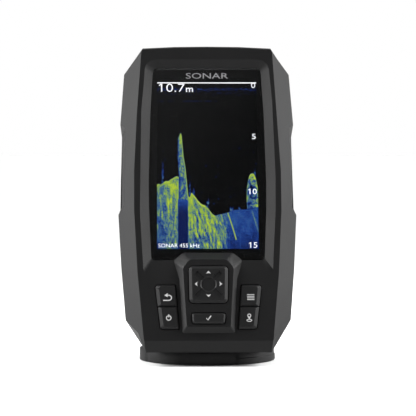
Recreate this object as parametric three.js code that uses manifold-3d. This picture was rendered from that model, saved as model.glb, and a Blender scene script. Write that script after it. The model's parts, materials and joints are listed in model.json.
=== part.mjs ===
// A compact fish finder on a tilt and swivel mount. Millimetres, +Z up, front towards -Y.
// The origin is the centre of the mount's underside, on the swivel axis.
// The head unit is drawn in its own leaning frame: x to the right, y is depth behind the
// lens, z runs up the face, with the origin at the display's centre on the lens.

import * as THREE from "three";
import { mergeVertices } from "three/addons/utils/BufferGeometryUtils.js";
import Module from "manifold-3d";

const wasm = await Module();
wasm.setup();

// ---------------------------------------------------------------- driving dimensions

const LEAN = THREE.MathUtils.degToRad(21.27);
const UNIT_Y = -3.9;
const UNIT_Z = 104.2;
const GAP = 0.3;
const SIDES = 20;

// Depths through the head unit, from the front backwards.
const HOOD_FRONT = -5.5;
const FACE = -3;
const CHIN = 0.5;
const WIDEST = 8;
const SEAM = 16;
const SHOULDER = 30;
const BACK = 42;
const WALL = 2.4;
const FRONT_WALL = 3.4;

// The display stack.
const DISPLAY_HALF = [26.95, 47.5]; // half the picture's width and height
const LENS_THICK = 1.6;
const TAPE_THICK = 0.4;
const SHELF_FRONT = LENS_THICK + TAPE_THICK + 2 * GAP;
const SHELF_BACK = 4.4;
const PANEL_THICK = 1.8;
const BACKLIGHT_THICK = 2.6;

// The keypad.
const KEY_WALL_BACK = -0.6;
const KEY_PROUD = 1.0;
const KEY_GAP = 0.45;
const KEY_BEVEL = { inner: 0.7, outer: 1.7, end: 0.8 };
const SELECT_BEVEL = 0.8;
const FLANGE = 0.8;
const FLANGE_THICK = 1;
const MEMBRANE_FRONT = 1.7;
const MEMBRANE_THICK = 1.2;
const KEY_BOARD_FRONT = 3.9;

// The mount.
const BASE_R = 36.4;
const BASE_TOP = 6.4;
const BASE_CHAMFER = 0.3;
const TABLE_R = 26.6;
const TABLE_BOTTOM = 3.3;
const HINGE_Y = 22.3;
const HINGE_Z = 20;
const HINGE_R = 7;
const BOLT_R = 2.4;
const EAR_INNER = 8.8;
const EAR_THICK = 4;
const PLATE_HALF = 17;
const PLATE_FRONT = BACK + 0.4;
const PLATE_BACK = 46;
const PLATE_TOP = -30.2;
const PLATE_BOTTOM = -61;
const LATCH_PIN = [50.2, -44];

// Where screws, the socket and the vent stand, as [x, up the face].
const CASE_SCREWS = [[35.5, 45], [-35.5, 45], [33.5, -66], [-33.5, -66]];
const SOCKET_AT = [0, 6];
const VENT_AT = [-18, 30];
const WELL_FLOOR = 25;
const BOARD_SCREWS = [[26, 44], [-26, 44], [26, -44], [-26, -44]];

// ---------------------------------------------------------------- outlines

// Half outlines of the case, from the top centre down the right side to the bottom
// corner, as [x, up the face]. Each one has the same corners in the same order.
const CASE_RINGS = [
  [FACE, [[0, 67.6], [17.5, 67.3], [35.1, 66.3], [35.6, 65], [37.8, 30], [39.2, -4],
    [39.1, -26.4], [37.2, -61], [33.8, -97.4], [33.6, -98.4]]],
  [WIDEST, [[0, 69], [17.5, 68.8], [34.9, 68.1], [45.1, 56.1], [46.9, 27.7], [47.5, -2],
    [47.7, -24.8], [45.9, -56], [43.5, -84], [32.6, -101.3]]],
  [SEAM, [[0, 68.4], [17.5, 68.1], [34.4, 67.2], [44.4, 55.4], [46.2, 27.2], [46.7, -2],
    [46.9, -24.8], [45.1, -56], [42.6, -82.4], [31.8, -98.3]]],
  [SHOULDER, [[0, 64], [17, 63.7], [32.5, 62.5], [40.8, 51.5], [42.3, 26], [42.8, -2],
    [42.7, -24], [40.9, -54], [37.8, -76], [28, -87]]],
  [BACK, [[0, 56.2], [15, 55.8], [26, 54.6], [33.5, 45], [34.9, 24], [35.2, -2],
    [35, -22], [33.4, -50], [30.4, -68], [22.4, -77.5]]],
];

// The chin's lowest edge and the rounded top band lie a little behind the face.
const CHIN_CORNER = [32.8, -103.8];
const TOP_BAND = [[0, 69.6], [17.5, 69.4], [34.9, 68.5]];

// The screen recess at the face, and the lens at its foot.
const RECESS_RING = [[33.3, 60.5], [35.5, 30], [36.3, -8], [36, -26.4], [33.8, -65]];
const RECESS_RADII = [6, 8, 8, 8, 6];
const LENS_RING = [[29.2, 56.7], [30.6, 30], [31.4, -8], [31.2, -25.4], [29.9, -53.4]];
const LENS_RADII = [3, 8, 8, 8, 2];

// The finger grip in each flank: its floor as [x, depth] from front to back, and the
// ramps at its ends as [height at the front edge, rise per x, rise per depth].
const GRIP_FLOOR = [[44.3, 5], [46.4, SEAM + 1]];
const GRIP_RAMPS = [[23.4, 1.47, -0.32], [-19.1, -2.27, 0.46]];

const HOOD_TOP = [[10, -54.8], [13.3, -59.5], [11.4, -91.7]];
const HOOD_BASE = [[13.2, -49.2], [18.2, -53.6], [16.3, -97.5]];
const HOOD_RADII = [4, 3, 1, 1, 3, 4];

const WINDOW = [[28.3, 49.2], [28.3, -48.6]];
const PAD_HOLE = [[10.8, -58.1], [10.4, -79.2]];
const SELECT_HOLE = [[9.4, -83.8], [8.8, -90.4]];
const PAIR_TOP = -67.8;
const PAIR_SPLIT = -80;
const PAIR_BOTTOM = -92.5;
const PAIR_RADII = [0.6, 1.8, 1.8, 0.6];

/** Mirrors a half outline, given from the top down the right side, into a closed one. */
function mirrored(half) {
  const left = half.filter(([x]) => x > 0).map(([x, v]) => [-x, v]).reverse();
  return [...half, ...left];
}

/** Twice the signed area of a closed outline. */
function turning(points) {
  return points.reduce((sum, [x, v], i) => {
    const [nextX, nextV] = points[(i + 1) % points.length];
    return sum + x * nextV - nextX * v;
  }, 0);
}

/** Moves every edge of a closed outline inwards by a distance; negative grows it. */
function inset(points, distance) {
  const side = Math.sign(turning(points));
  const edges = points.map((a, i) => {
    const b = points[(i + 1) % points.length];
    const length = Math.hypot(b[0] - a[0], b[1] - a[1]);
    const along = [(b[0] - a[0]) / length, (b[1] - a[1]) / length];
    const normal = [-along[1] * side, along[0] * side];
    return { along, from: [a[0] + normal[0] * distance, a[1] + normal[1] * distance] };
  });
  return edges.map((edge, i) => {
    const before = edges[(i + edges.length - 1) % edges.length];
    const cross = before.along[0] * edge.along[1] - before.along[1] * edge.along[0];
    const dx = edge.from[0] - before.from[0];
    const dv = edge.from[1] - before.from[1];
    const t = (dx * edge.along[1] - dv * edge.along[0]) / cross;
    return [before.from[0] + before.along[0] * t, before.from[1] + before.along[1] * t];
  });
}

/** Rounds the corners of a closed outline; radii is one number or one per corner. */
function rounded(points, radii, steps = 3) {
  return points.flatMap((corner, i) => {
    const radius = Array.isArray(radii) ? radii[i] : radii;
    const before = points[(i + points.length - 1) % points.length];
    const after = points[(i + 1) % points.length];
    const toBefore = new THREE.Vector2(before[0] - corner[0], before[1] - corner[1]).normalize();
    const toAfter = new THREE.Vector2(after[0] - corner[0], after[1] - corner[1]).normalize();
    const half = Math.acos(THREE.MathUtils.clamp(toBefore.dot(toAfter), -1, 1)) / 2;
    const centre = toBefore.clone().add(toAfter).normalize()
      .multiplyScalar(radius / Math.sin(half)).add(new THREE.Vector2(...corner));
    const start = toBefore.multiplyScalar(radius / Math.tan(half))
      .add(new THREE.Vector2(...corner)).sub(centre);
    const end = toAfter.multiplyScalar(radius / Math.tan(half))
      .add(new THREE.Vector2(...corner)).sub(centre);
    const sweep = Math.atan2(start.cross(end), start.dot(end));
    return Array.from({ length: steps + 1 }, (_, k) => {
      const turned = start.clone().rotateAround(new THREE.Vector2(), (sweep * k) / steps);
      return [centre.x + turned.x, centre.y + turned.y];
    });
  });
}

/** The case's half outline at a depth, between its rings. */
function caseHalf(depth) {
  const next = Math.max(1, CASE_RINGS.findIndex(([d]) => d >= depth));
  const [d0, a] = CASE_RINGS[next - 1];
  const [d1, b] = CASE_RINGS[next];
  const t = (depth - d0) / (d1 - d0);
  return a.map(([x, v], i) => [x + (b[i][0] - x) * t, v + (b[i][1] - v) * t]);
}

/** The case's closed outline at a depth. */
const caseOutline = (depth) => mirrored(caseHalf(depth));

/** A four-cornered outline symmetric about the centre line, from its top and bottom. */
function trapezium([[topHalf, top], [bottomHalf, bottom]]) {
  return [[topHalf, top], [bottomHalf, bottom], [-bottomHalf, bottom], [-topHalf, top]];
}

// ---------------------------------------------------------------- solids

/** A closed solid through outlines of equal length, as [[depth, outline], ...]. */
function loft(rings) {
  const count = rings[0][1].length;
  const positions = rings.flatMap(([d, points]) => points.flatMap(([x, v]) => [x, d, v]));
  const index = [];
  rings.slice(1).forEach((_, k) => {
    for (let i = 0; i < count; i += 1) {
      const a = k * count + i;
      const b = k * count + ((i + 1) % count);
      index.push(a, a + count, b, b, a + count, b + count);
    }
  });
  [0, rings.length - 1].forEach((k) => {
    const points = rings[k][1];
    const flat = points.map(([x, v]) => new THREE.Vector2(x, v));
    THREE.ShapeUtils.triangulateShape(flat, []).forEach((face) => {
      const sameWay = turning(face.map((i) => points[i])) * turning(points) > 0;
      const ordered = sameWay === (k === 0) ? face : [...face].reverse();
      index.push(...ordered.map((i) => k * count + i));
    });
  });
  const geometry = new THREE.BufferGeometry();
  geometry.setAttribute("position", new THREE.Float32BufferAttribute(positions, 3));
  geometry.setIndex(index);
  return facingOut(geometry);
}

/** Turns every face over if the closed geometry is inside out. */
function facingOut(geometry) {
  const { array } = geometry.getAttribute("position");
  const index = geometry.getIndex().array;
  const point = (i) => new THREE.Vector3().fromArray(array, 3 * i);
  let volume = 0;
  for (let i = 0; i < index.length; i += 3) {
    volume += point(index[i]).dot(point(index[i + 1]).cross(point(index[i + 2])));
  }
  if (volume < 0) {
    index.reverse();
  }
  return geometry;
}

/** A prism of an [x, up] outline between two depths. */
function prism(outline, near, far) {
  const shape = new THREE.Shape(outline.map(([x, v]) => new THREE.Vector2(x, v)));
  const geometry = new THREE.ExtrudeGeometry(shape, { depth: far - near, bevelEnabled: false });
  return geometry.rotateX(Math.PI / 2).translate(0, far, 0);
}

/** A prism of a [depth, up] outline between two x positions. */
function sidePrism(outline, left, right) {
  const shape = new THREE.Shape(outline.map(([d, v]) => new THREE.Vector2(d, v)));
  const geometry = new THREE.ExtrudeGeometry(shape, { depth: right - left, bevelEnabled: false });
  return geometry.rotateX(Math.PI / 2).rotateZ(Math.PI / 2).translate(left, 0, 0);
}

/** A box from its lowest to its highest corner. */
function block([x0, y0, z0], [x1, y1, z1]) {
  return new THREE.BoxGeometry(x1 - x0, y1 - y0, z1 - z0)
    .translate((x0 + x1) / 2, (y0 + y1) / 2, (z0 + z1) / 2);
}

/** A cylinder along the depth axis. */
function depthCylinder([x, v], radius, near, far, sides = SIDES) {
  return new THREE.CylinderGeometry(radius, radius, far - near, sides)
    .translate(x, (near + far) / 2, v);
}

/** A cylinder along x. */
function crossCylinder([y, z], radius, left, right, sides = SIDES) {
  return new THREE.CylinderGeometry(radius, radius, right - left, sides)
    .rotateZ(Math.PI / 2).translate((left + right) / 2, y, z);
}

/** A turned piece about an upright axis, from [radius, height] points. */
function turned(profile, sides = SIDES) {
  const points = profile.map(([r, h]) => new THREE.Vector2(r, h));
  return new THREE.LatheGeometry(points, sides).rotateX(Math.PI / 2);
}

/** A turned piece about the depth axis, from [radius, depth] points. */
function depthTurned(profile, [x, v], sides = SIDES) {
  const points = profile.map(([r, d]) => new THREE.Vector2(r, d));
  return new THREE.LatheGeometry(points, sides).translate(x, 0, v);
}

/** A closed geometry as a solid for cutting and joining. */
function solid(geometry) {
  const bare = geometry.clone();
  bare.deleteAttribute("normal");
  bare.deleteAttribute("uv");
  const merged = facingOut(mergeVertices(bare.index ? bare.toNonIndexed() : bare, 1e-4));
  return new wasm.Manifold(new wasm.Mesh({
    numProp: 3,
    vertProperties: new Float32Array(merged.getAttribute("position").array),
    triVerts: new Uint32Array(merged.getIndex().array),
  }));
}

/** Joins closed geometries into one. */
function joined(first, ...others) {
  return asGeometry(others.reduce((whole, other) => whole.add(solid(other)), solid(first)));
}

/** Cuts closed geometries out of the first one. */
function cut(first, ...tools) {
  return asGeometry(tools.reduce((whole, tool) => whole.subtract(solid(tool)), solid(first)));
}

function asGeometry(manifold) {
  const mesh = manifold.getMesh();
  const geometry = new THREE.BufferGeometry();
  const positions = new THREE.Float32BufferAttribute(mesh.vertProperties, 3);
  geometry.setAttribute("position", positions);
  geometry.setIndex(new THREE.Uint32BufferAttribute(mesh.triVerts, 1));
  return geometry;
}

// ---------------------------------------------------------------- assembly

const FINISHES = {
  housing: ["#242424", 0.55, 0],
  bevelled: ["#2a2a2a", 0.5, 0],
  mount: ["#262626", 0.6, 0],
  lens: ["#0d0e10", 0.08, 0],
  tape: ["#0a0a0a", 0.7, 0],
  display: ["#101a3c", 0.2, 0],
  backlight: ["#d8dde2", 0.5, 0],
  steel: ["#a9adb2", 0.35, 1],
  brass: ["#c9a449", 0.35, 1],
  board: ["#12523a", 0.55, 0],
  flex: ["#b0742c", 0.5, 0],
  rubber: ["#191919", 0.85, 0],
  ceramic: ["#cbb99a", 0.6, 0],
};

const fishFinder = new THREE.Group();
const leaning = new THREE.Group();
leaning.position.set(0, UNIT_Y, UNIT_Z);
leaning.rotation.x = -LEAN;
fishFinder.add(leaning);

function place(parent, name, geometry, finish) {
  const [color, roughness, metalness] = FINISHES[finish];
  const material = new THREE.MeshStandardMaterial({ color, roughness, metalness });
  const mesh = new THREE.Mesh(geometry, material);
  mesh.name = name;
  parent.add(mesh);
}

const inHead = (name, geometry, finish) => place(leaning, name, geometry, finish);
const onDeck = (name, geometry, finish) => place(fishFinder, name, geometry, finish);

/** A point of the upright frame, given as [y, z], in the leaning frame. */
function leaningPoint(y, z) {
  const dy = y - UNIT_Y;
  const dz = z - UNIT_Z;
  return [
    dy * Math.cos(LEAN) - dz * Math.sin(LEAN),
    dy * Math.sin(LEAN) + dz * Math.cos(LEAN),
  ];
}

const HINGE = leaningPoint(HINGE_Y, HINGE_Z);

// ---------------------------------------------------------------- case

/** The front cover's outer body: flat face, bevelled flanks, chin and seam. */
function frontBody() {
  const chin = caseHalf(CHIN);
  chin.splice(0, TOP_BAND.length, ...TOP_BAND);
  chin[chin.length - 1] = CHIN_CORNER;
  return loft([
    [FACE, caseOutline(FACE)], [CHIN, mirrored(chin)],
    [WIDEST, caseOutline(WIDEST)], [SEAM, caseOutline(SEAM)],
  ]);
}

/** The tool that leaves the finger grip in one flank: six flat faces, open outwards. */
function gripTool(side) {
  const clear = 60;
  const openFront = GRIP_FLOOR[0][1] - 14;
  const [[frontX, frontDepth], [backX, backDepth]] = GRIP_FLOOR;
  const section = [[frontX, frontDepth], [backX, backDepth], [clear, backDepth],
    [clear, openFront]];
  const corners = GRIP_RAMPS.flatMap(([height, perX, perDepth]) => section.map(([x, d]) => (
    [x * side, d, height + perX * (x - frontX) + perDepth * (d - frontDepth)]
  )));
  const faces = [
    [0, 1, 2, 3], [7, 6, 5, 4], [0, 4, 5, 1], [1, 5, 6, 2], [2, 6, 7, 3], [3, 7, 4, 0],
  ];
  const geometry = new THREE.BufferGeometry();
  geometry.setAttribute("position", new THREE.Float32BufferAttribute(corners.flat(), 3));
  geometry.setIndex(faces.flatMap(([a, b, c, d]) => [a, b, c, a, c, d]));
  return facingOut(geometry);
}

/** A ring's closed outline with rounded corners; radii run down its right side. */
function ringOutline(ring, radii) {
  return rounded(mirrored(ring), [...radii, ...[...radii].reverse()]);
}

const lensOutline = ringOutline(LENS_RING, LENS_RADII);

/** The tool for the screen recess, sloping from the face down to the lens. */
function recessTool() {
  const outer = ringOutline(RECESS_RING, RECESS_RADII);
  const slope = 1 / (0 - FACE);
  const over = outer.map(([x, v], i) => [
    x + (x - lensOutline[i][0]) * slope, v + (v - lensOutline[i][1]) * slope,
  ]);
  return loft([[FACE - 1, over], [0, lensOutline], [0.1, lensOutline]]);
}

/** The raised hood that carries the arrow pad and the select key, down to a depth. */
function hoodBody(grow = 0, deep = SHELF_FRONT - GAP) {
  const top = rounded(mirrored(HOOD_TOP), HOOD_RADII, 4);
  const base = rounded(mirrored(HOOD_BASE), HOOD_RADII, 4);
  const grown = grow ? [top, base].map((ring) => inset(ring, -grow)) : [top, base];
  return loft([[HOOD_FRONT, grown[0]], [0, grown[1]], [deep, grown[1]]]);
}

const padHole = rounded(trapezium(PAD_HOLE), 2.6, 4);
const selectHole = rounded(trapezium(SELECT_HOLE), 1.5, 3);

/** Inner and outer edge of the opening for a pair of side keys, at a height. */
function pairEdges(v) {
  const t = (v - PAIR_TOP) / (PAIR_BOTTOM - PAIR_TOP);
  return [16.9 - 1.9 * t, 28.4 - 3 * t];
}

/** A rounded outline between two heights of that opening, slimmer by two margins. */
function pairOutline(side, top, bottom, radii, inner = 0, outer = inner) {
  const [topEdges, bottomEdges] = [pairEdges(top), pairEdges(bottom)];
  const corners = [
    [topEdges[0] + inner, top], [topEdges[1] - outer, top],
    [bottomEdges[1] - outer, bottom], [bottomEdges[0] + inner, bottom],
  ];
  return rounded(corners, radii).map(([x, v]) => [x * side, v]);
}

/** The front cover: screen recess and window, hood, key openings and screw bosses. */
function frontCover() {
  const flank = FRONT_WALL;
  const keyPocket = [[31, -56.5], [31, -80], [27.5, -96.5]];
  const cavity = loft([
    [SHELF_BACK, inset(caseOutline(SHELF_BACK), flank)],
    [WIDEST, inset(caseOutline(WIDEST), flank)],
    [SEAM + 1, inset(caseOutline(SEAM), flank)],
  ]);
  const hollow = cut(cavity, ...CASE_SCREWS.map((at) => depthCylinder(at, 4, 0, SEAM)));
  const window = prism(rounded(trapezium(WINDOW), 1), -1, SHELF_BACK + 1);
  const lensPocket = cut(prism(inset(lensOutline, -0.05), 0.02, SHELF_FRONT), hoodBody(0, 3));
  const openings = [
    padHole, selectHole,
    ...[1, -1].map((side) => pairOutline(side, PAIR_TOP, PAIR_BOTTOM, PAIR_RADII)),
  ].map((outline) => prism(outline, HOOD_FRONT - 1, KEY_WALL_BACK + 1));
  const shell = cut(frontBody(), recessTool(), gripTool(1), gripTool(-1));
  const hooded = joined(shell, hoodBody());
  return cut(
    hooded,
    lensPocket,
    window,
    hollow,
    prism(mirrored(keyPocket), KEY_WALL_BACK, SHELF_BACK + 1),
    ...openings,
    ...CASE_SCREWS.map((at) => depthCylinder(at, 1.6, WIDEST, SEAM + 1, 12)),
  );
}

/** The back shell: tapered, with screw wells, cradle rails and a latch groove. */
function rearCover() {
  const front = SEAM + GAP;
  const floor = BACK - 3.4;
  const outer = loft([
    [front, caseOutline(front)], [SHOULDER, caseOutline(SHOULDER)], [BACK, caseOutline(BACK)],
  ]);
  const cavity = loft([
    [front - 1, inset(caseOutline(front), WALL + 1)],
    [SHOULDER, inset(caseOutline(SHOULDER), WALL + 0.4)],
    [floor, inset(caseOutline(floor), WALL + 0.4)],
  ]);
  const bosses = CASE_SCREWS.map((at) => depthCylinder(at, 5.2, front, BACK));
  const hollow = cut(cavity, ...bosses);
  const railOuter = PLATE_HALF + 4.4;
  const lipInner = PLATE_HALF - 3.5;
  const railBack = PLATE_BACK + 2.4;
  const rails = [1, -1].flatMap((side) => {
    const wall = [PLATE_HALF + 0.4, railOuter].map((x) => x * side).sort((a, b) => a - b);
    const lip = [lipInner, railOuter].map((x) => x * side).sort((a, b) => a - b);
    return [
      block([wall[0], BACK - 0.5, PLATE_BOTTOM - 1], [wall[1], railBack, PLATE_TOP + 4]),
      block([lip[0], PLATE_BACK + 0.4, PLATE_BOTTOM - 1], [lip[1], railBack, PLATE_TOP + 4]),
    ];
  });
  const stop = block([-railOuter, BACK - 0.5, PLATE_TOP + 0.4],
    [railOuter, PLATE_BACK + 1.6, PLATE_TOP + 4]);
  const groove = block([-4.8, BACK - 1.6, -90], [4.8, BACK + 1, -50]);
  const gasketGroove = cut(
    prism(inset(caseOutline(front), 0.6), front - 1, front + 1.5),
    prism(inset(caseOutline(front), 2.4), front - 2, front + 2.5),
  );
  return cut(
    joined(outer, ...rails, stop),
    hollow,
    groove,
    gasketGroove,
    depthCylinder(SOCKET_AT, 7.3, floor - 1, BACK + 1),
    depthCylinder(VENT_AT, 1, floor - 1, BACK + 1, 8),
    ...CASE_SCREWS.map((at) => depthCylinder(at, 3.5, WELL_FLOOR, BACK + 1, 16)),
    ...CASE_SCREWS.map((at) => depthCylinder(at, 1.9, front - 1, WELL_FLOOR + 1, 12)),
  );
}

inHead("front_cover", frontCover(), "housing");
inHead("rear_cover", rearCover(), "housing");
inHead("cover_gasket", cut(
  prism(inset(caseOutline(SEAM), 0.9), SEAM + GAP, SEAM + GAP + 1.2),
  prism(inset(caseOutline(SEAM), 2.1), SEAM, SEAM + 2),
), "rubber");
CASE_SCREWS.forEach((at, i) => {
  const headFront = WELL_FLOOR + 0.2;
  const screw = joined(depthCylinder(at, 3, headFront, headFront + 2.6, 16),
    depthCylinder(at, 1.3, WIDEST + 1, headFront + 1, 12));
  inHead(`case_screw_${i + 1}`, screw, "steel");
});

// ---------------------------------------------------------------- display

inHead("display_lens", cut(prism(inset(lensOutline, 0.25), 0, LENS_THICK),
  hoodBody(0.3, SHELF_FRONT + 1)), "lens");

const tapeFront = LENS_THICK + GAP;
const tapeOutline = inset(lensOutline, 0.5);
const [seenHalf, seenTop] = DISPLAY_HALF.map((half) => half + GAP);
inHead("lens_adhesive", cut(
  prism(tapeOutline, tapeFront, tapeFront + TAPE_THICK),
  block([-seenHalf, 0, -seenTop], [seenHalf, SHELF_BACK, seenTop]),
  hoodBody(0.3, SHELF_FRONT + 1),
), "tape");

const panelFront = SHELF_BACK + GAP;
const lightFront = panelFront + PANEL_THICK + GAP;
const bracketFront = lightFront + BACKLIGHT_THICK + GAP;
const BRACKET_THICK = 1;
const boardFront = 12;
const BOARD_THICK = 1.6;
const boardBack = boardFront + BOARD_THICK;

inHead("lcd_panel", block([-30.4, panelFront, -52.3],
  [30.4, panelFront + PANEL_THICK, 52.6]), "display");
inHead("lcd_backlight", block([-30.8, lightFront, -52.8],
  [30.8, lightFront + BACKLIGHT_THICK, 53]), "backlight");
inHead("display_bracket", cut(
  block([-40, bracketFront, -54.5], [40, bracketFront + BRACKET_THICK, 54]),
  block([-22, bracketFront - 1, -36], [22, bracketFront + 2, 36]),
  ...CASE_SCREWS.slice(0, 2).map((at) => depthCylinder(at, 4.4, 0, SEAM, 16)),
  ...BOARD_SCREWS.map((at) => depthCylinder(at, 1.4, 0, SEAM, 10)),
), "steel");

const FLEX_THICK = 0.4;
inHead("display_flex", sidePrism([
  [panelFront + 0.5, -52.6], [panelFront + 0.5, -56.8], [boardFront - GAP - FLEX_THICK, -56.8],
  [boardFront - GAP - FLEX_THICK, -62], [boardFront - GAP, -62],
  [boardFront - GAP, -56.8 + FLEX_THICK], [panelFront + 0.5 + FLEX_THICK, -56.8 + FLEX_THICK],
  [panelFront + 0.5 + FLEX_THICK, -52.6],
], -9, 9), "flex");

// ---------------------------------------------------------------- electronics

inHead("main_board", cut(
  prism(mirrored([[30.5, 62], [30.5, -55], [24, -92]]), boardFront, boardBack),
  ...BOARD_SCREWS.map((at) => depthCylinder(at, 1.4, 0, SEAM, 10)),
), "board");
BOARD_SCREWS.forEach((at, i) => {
  const screw = joined(depthCylinder(at, 2.2, boardBack + GAP, boardBack + GAP + 1.4, 12),
    depthCylinder(at, 1, bracketFront, boardBack + 1, 10));
  inHead(`board_screw_${i + 1}`, screw, "steel");
});
inHead("processor_shield", block([-16, boardBack + GAP, -20],
  [16, boardBack + 3.2, 18]), "steel");
inHead("gps_antenna", block([-9, boardBack + GAP, 42], [9, boardBack + 4.6, 60]), "ceramic");
inHead("beeper", depthCylinder([14, -48], 6, boardBack + GAP, boardBack + 4), "tape");

// ---------------------------------------------------------------- keypad

const membraneBack = MEMBRANE_FRONT + MEMBRANE_THICK;
const keySpots = [[0, -62], [0, -75], [-6.5, -68.6], [6.5, -68.6], [0, -87.1],
  [21.5, -74], [-21.5, -74], [20.5, -86], [-20.5, -86]];
inHead("keypad_membrane", cut(
  joined(
    prism(mirrored([[30.4, -57.3], [30.4, -80], [27, -95.8]]), MEMBRANE_FRONT, membraneBack),
    ...keySpots.map((at) => depthCylinder(at, 2.2, membraneBack - 0.2, membraneBack + 0.6, 10)),
  ),
  depthCylinder([0, -68.6], 2.2, 0, 4, 12),
), "rubber");
const keyBoardBack = KEY_BOARD_FRONT + 1.2;
inHead("keypad_board", prism(mirrored([[29.6, -58.2], [29.6, -80], [26.4, -95.4]]),
  KEY_BOARD_FRONT, keyBoardBack), "board");
const flexFront = keyBoardBack + GAP;
inHead("keypad_flex", sidePrism([
  [flexFront, -84], [flexFront, -90.4], [boardFront - GAP, -90.4], [boardFront - GAP, -86],
  [boardFront - GAP - FLEX_THICK, -86], [boardFront - GAP - FLEX_THICK, -90],
  [flexFront + FLEX_THICK, -90], [flexFront + FLEX_THICK, -84],
], -16, -6), "flex");

/** A hard key cap that narrows to its top face, with a flange that keeps it in. */
function keyCap(front, topFace, outline, flange) {
  const flangeFront = KEY_WALL_BACK + GAP;
  const cap = loft([
    [front, topFace], [front + KEY_PROUD, outline], [flangeFront + FLANGE_THICK / 2, outline],
  ]);
  return joined(cap, prism(flange, flangeFront, flangeFront + FLANGE_THICK));
}

const sideFront = FACE - KEY_PROUD;
const hoodKeyFront = HOOD_FRONT - KEY_PROUD;
const UPPER_KEY = [PAIR_TOP - KEY_GAP, PAIR_SPLIT + GAP / 2, [0.6, 1.4, 0.4, 0.4]];
const LOWER_KEY = [PAIR_SPLIT - GAP / 2, PAIR_BOTTOM + KEY_GAP, [0.4, 0.4, 1.4, 0.6]];
[
  ["back_key", -1, UPPER_KEY], ["power_key", -1, LOWER_KEY],
  ["menu_key", 1, UPPER_KEY], ["mark_key", 1, LOWER_KEY],
].forEach(([name, side, [top, bottom, radii]]) => {
  const { inner, outer, end } = KEY_BEVEL;
  const topFace = pairOutline(side, top - end, bottom + end, radii,
    KEY_GAP + inner, KEY_GAP + outer);
  const outline = pairOutline(side, top, bottom, radii, KEY_GAP);
  const flange = pairOutline(side, top, bottom, radii, -FLANGE);
  inHead(name, keyCap(sideFront, topFace, outline, flange), "bevelled");
});
const selectOutline = inset(selectHole, KEY_GAP);
inHead("select_key", keyCap(hoodKeyFront, inset(selectOutline, SELECT_BEVEL), selectOutline,
  inset(selectHole, -FLANGE)), "bevelled");

/** The four-way pad: bevelled and dished, with four channels and a pivot socket. */
const PAD_CENTRE = [0, -68.6];
const PAD_BEVEL = [1.6, 0.9]; // across the pad, and in depth
const DISH = { radius: 4.9, floor: 3.7, depth: 0.6 };
const CHANNEL = { reach: 9.2, width: 2.3, depth: 0.4 };
function arrowPad() {
  const clear = 0.5;
  const outline = inset(padHole, KEY_GAP);
  const cap = loft([
    [hoodKeyFront, inset(outline, PAD_BEVEL[0])], [hoodKeyFront + PAD_BEVEL[1], outline],
    [0.6, outline],
  ]);
  const flange = prism(inset(padHole, -FLANGE), 0.2, 0.9);
  const dish = depthTurned([
    [0, hoodKeyFront - clear], [DISH.radius, hoodKeyFront - clear],
    [DISH.floor, hoodKeyFront + DISH.depth], [0, hoodKeyFront + DISH.depth],
  ], PAD_CENTRE, 24);
  const channels = [45, 135, 225, 315].map((degrees) => block(
    [0, hoodKeyFront - clear, -CHANNEL.width / 2],
    [CHANNEL.reach, hoodKeyFront + CHANNEL.depth, CHANNEL.width / 2],
  ).rotateY(THREE.MathUtils.degToRad(degrees)).translate(PAD_CENTRE[0], 0, PAD_CENTRE[1]));
  const socket = depthCylinder(PAD_CENTRE, 2.1, -2.6, 1.5, 12);
  return cut(joined(cap, flange), dish, ...channels, socket);
}
inHead("arrow_pad", arrowPad(), "bevelled");
inHead("arrow_pad_pivot", joined(
  depthCylinder(PAD_CENTRE, 1.5, -1.6, KEY_BOARD_FRONT - GAP, 12),
  new THREE.SphereGeometry(1.6, 12, 8).translate(0, -0.6, PAD_CENTRE[1]),
), "steel");

// ---------------------------------------------------------------- connector

const socketFlange = BACK + 1.6;
inHead("connector_socket", depthTurned([
  [0, 33], [7, 33], [7, socketFlange], [10, socketFlange], [10, socketFlange + 1.6],
  [8.6, socketFlange + 2.2], [8.6, 56], [6.8, 56], [6.8, 41], [0, 41],
], SOCKET_AT), "housing");
const pinRing = Array.from({ length: 6 }, (_, i) => {
  const turn = (i * Math.PI) / 3;
  return [SOCKET_AT[0] + 3.6 * Math.cos(turn), SOCKET_AT[1] + 3.6 * Math.sin(turn)];
});
inHead("connector_insert", joined(
  depthCylinder(SOCKET_AT, 6.4, 41.3, 43),
  ...pinRing.map((at) => depthCylinder(at, 0.6, 42.5, 46.4, 8)),
), "brass");
inHead("connector_seal", depthTurned([
  [7.6, BACK + GAP], [9.3, BACK + GAP], [9.3, BACK + GAP + 1], [7.6, BACK + GAP + 1],
  [7.6, BACK + GAP],
], SOCKET_AT), "rubber");
inHead("connector_nut", depthTurned([
  [7.3, 34.6], [10.6, 34.6], [10.6, 38.3], [7.3, 38.3], [7.3, 34.6],
], SOCKET_AT, 6 * 4), "steel");
inHead("vent_membrane", depthCylinder(VENT_AT, 4, 37.8, 38.2, 16), "tape");

// ---------------------------------------------------------------- cradle and latch

/** Points on an arc about a centre, from one angle to another in degrees. */
function arc([x, y], radius, from, to, steps) {
  return Array.from({ length: steps + 1 }, (_, i) => {
    const angle = THREE.MathUtils.degToRad(from + ((to - from) * i) / steps);
    return [x + radius * Math.cos(angle), y + radius * Math.sin(angle)];
  });
}

const NOSE_WINDOW = [-58.6, -50.8];
const LUG_INNER = 5.2;
const LUG_OUTER = 7.8;

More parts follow.
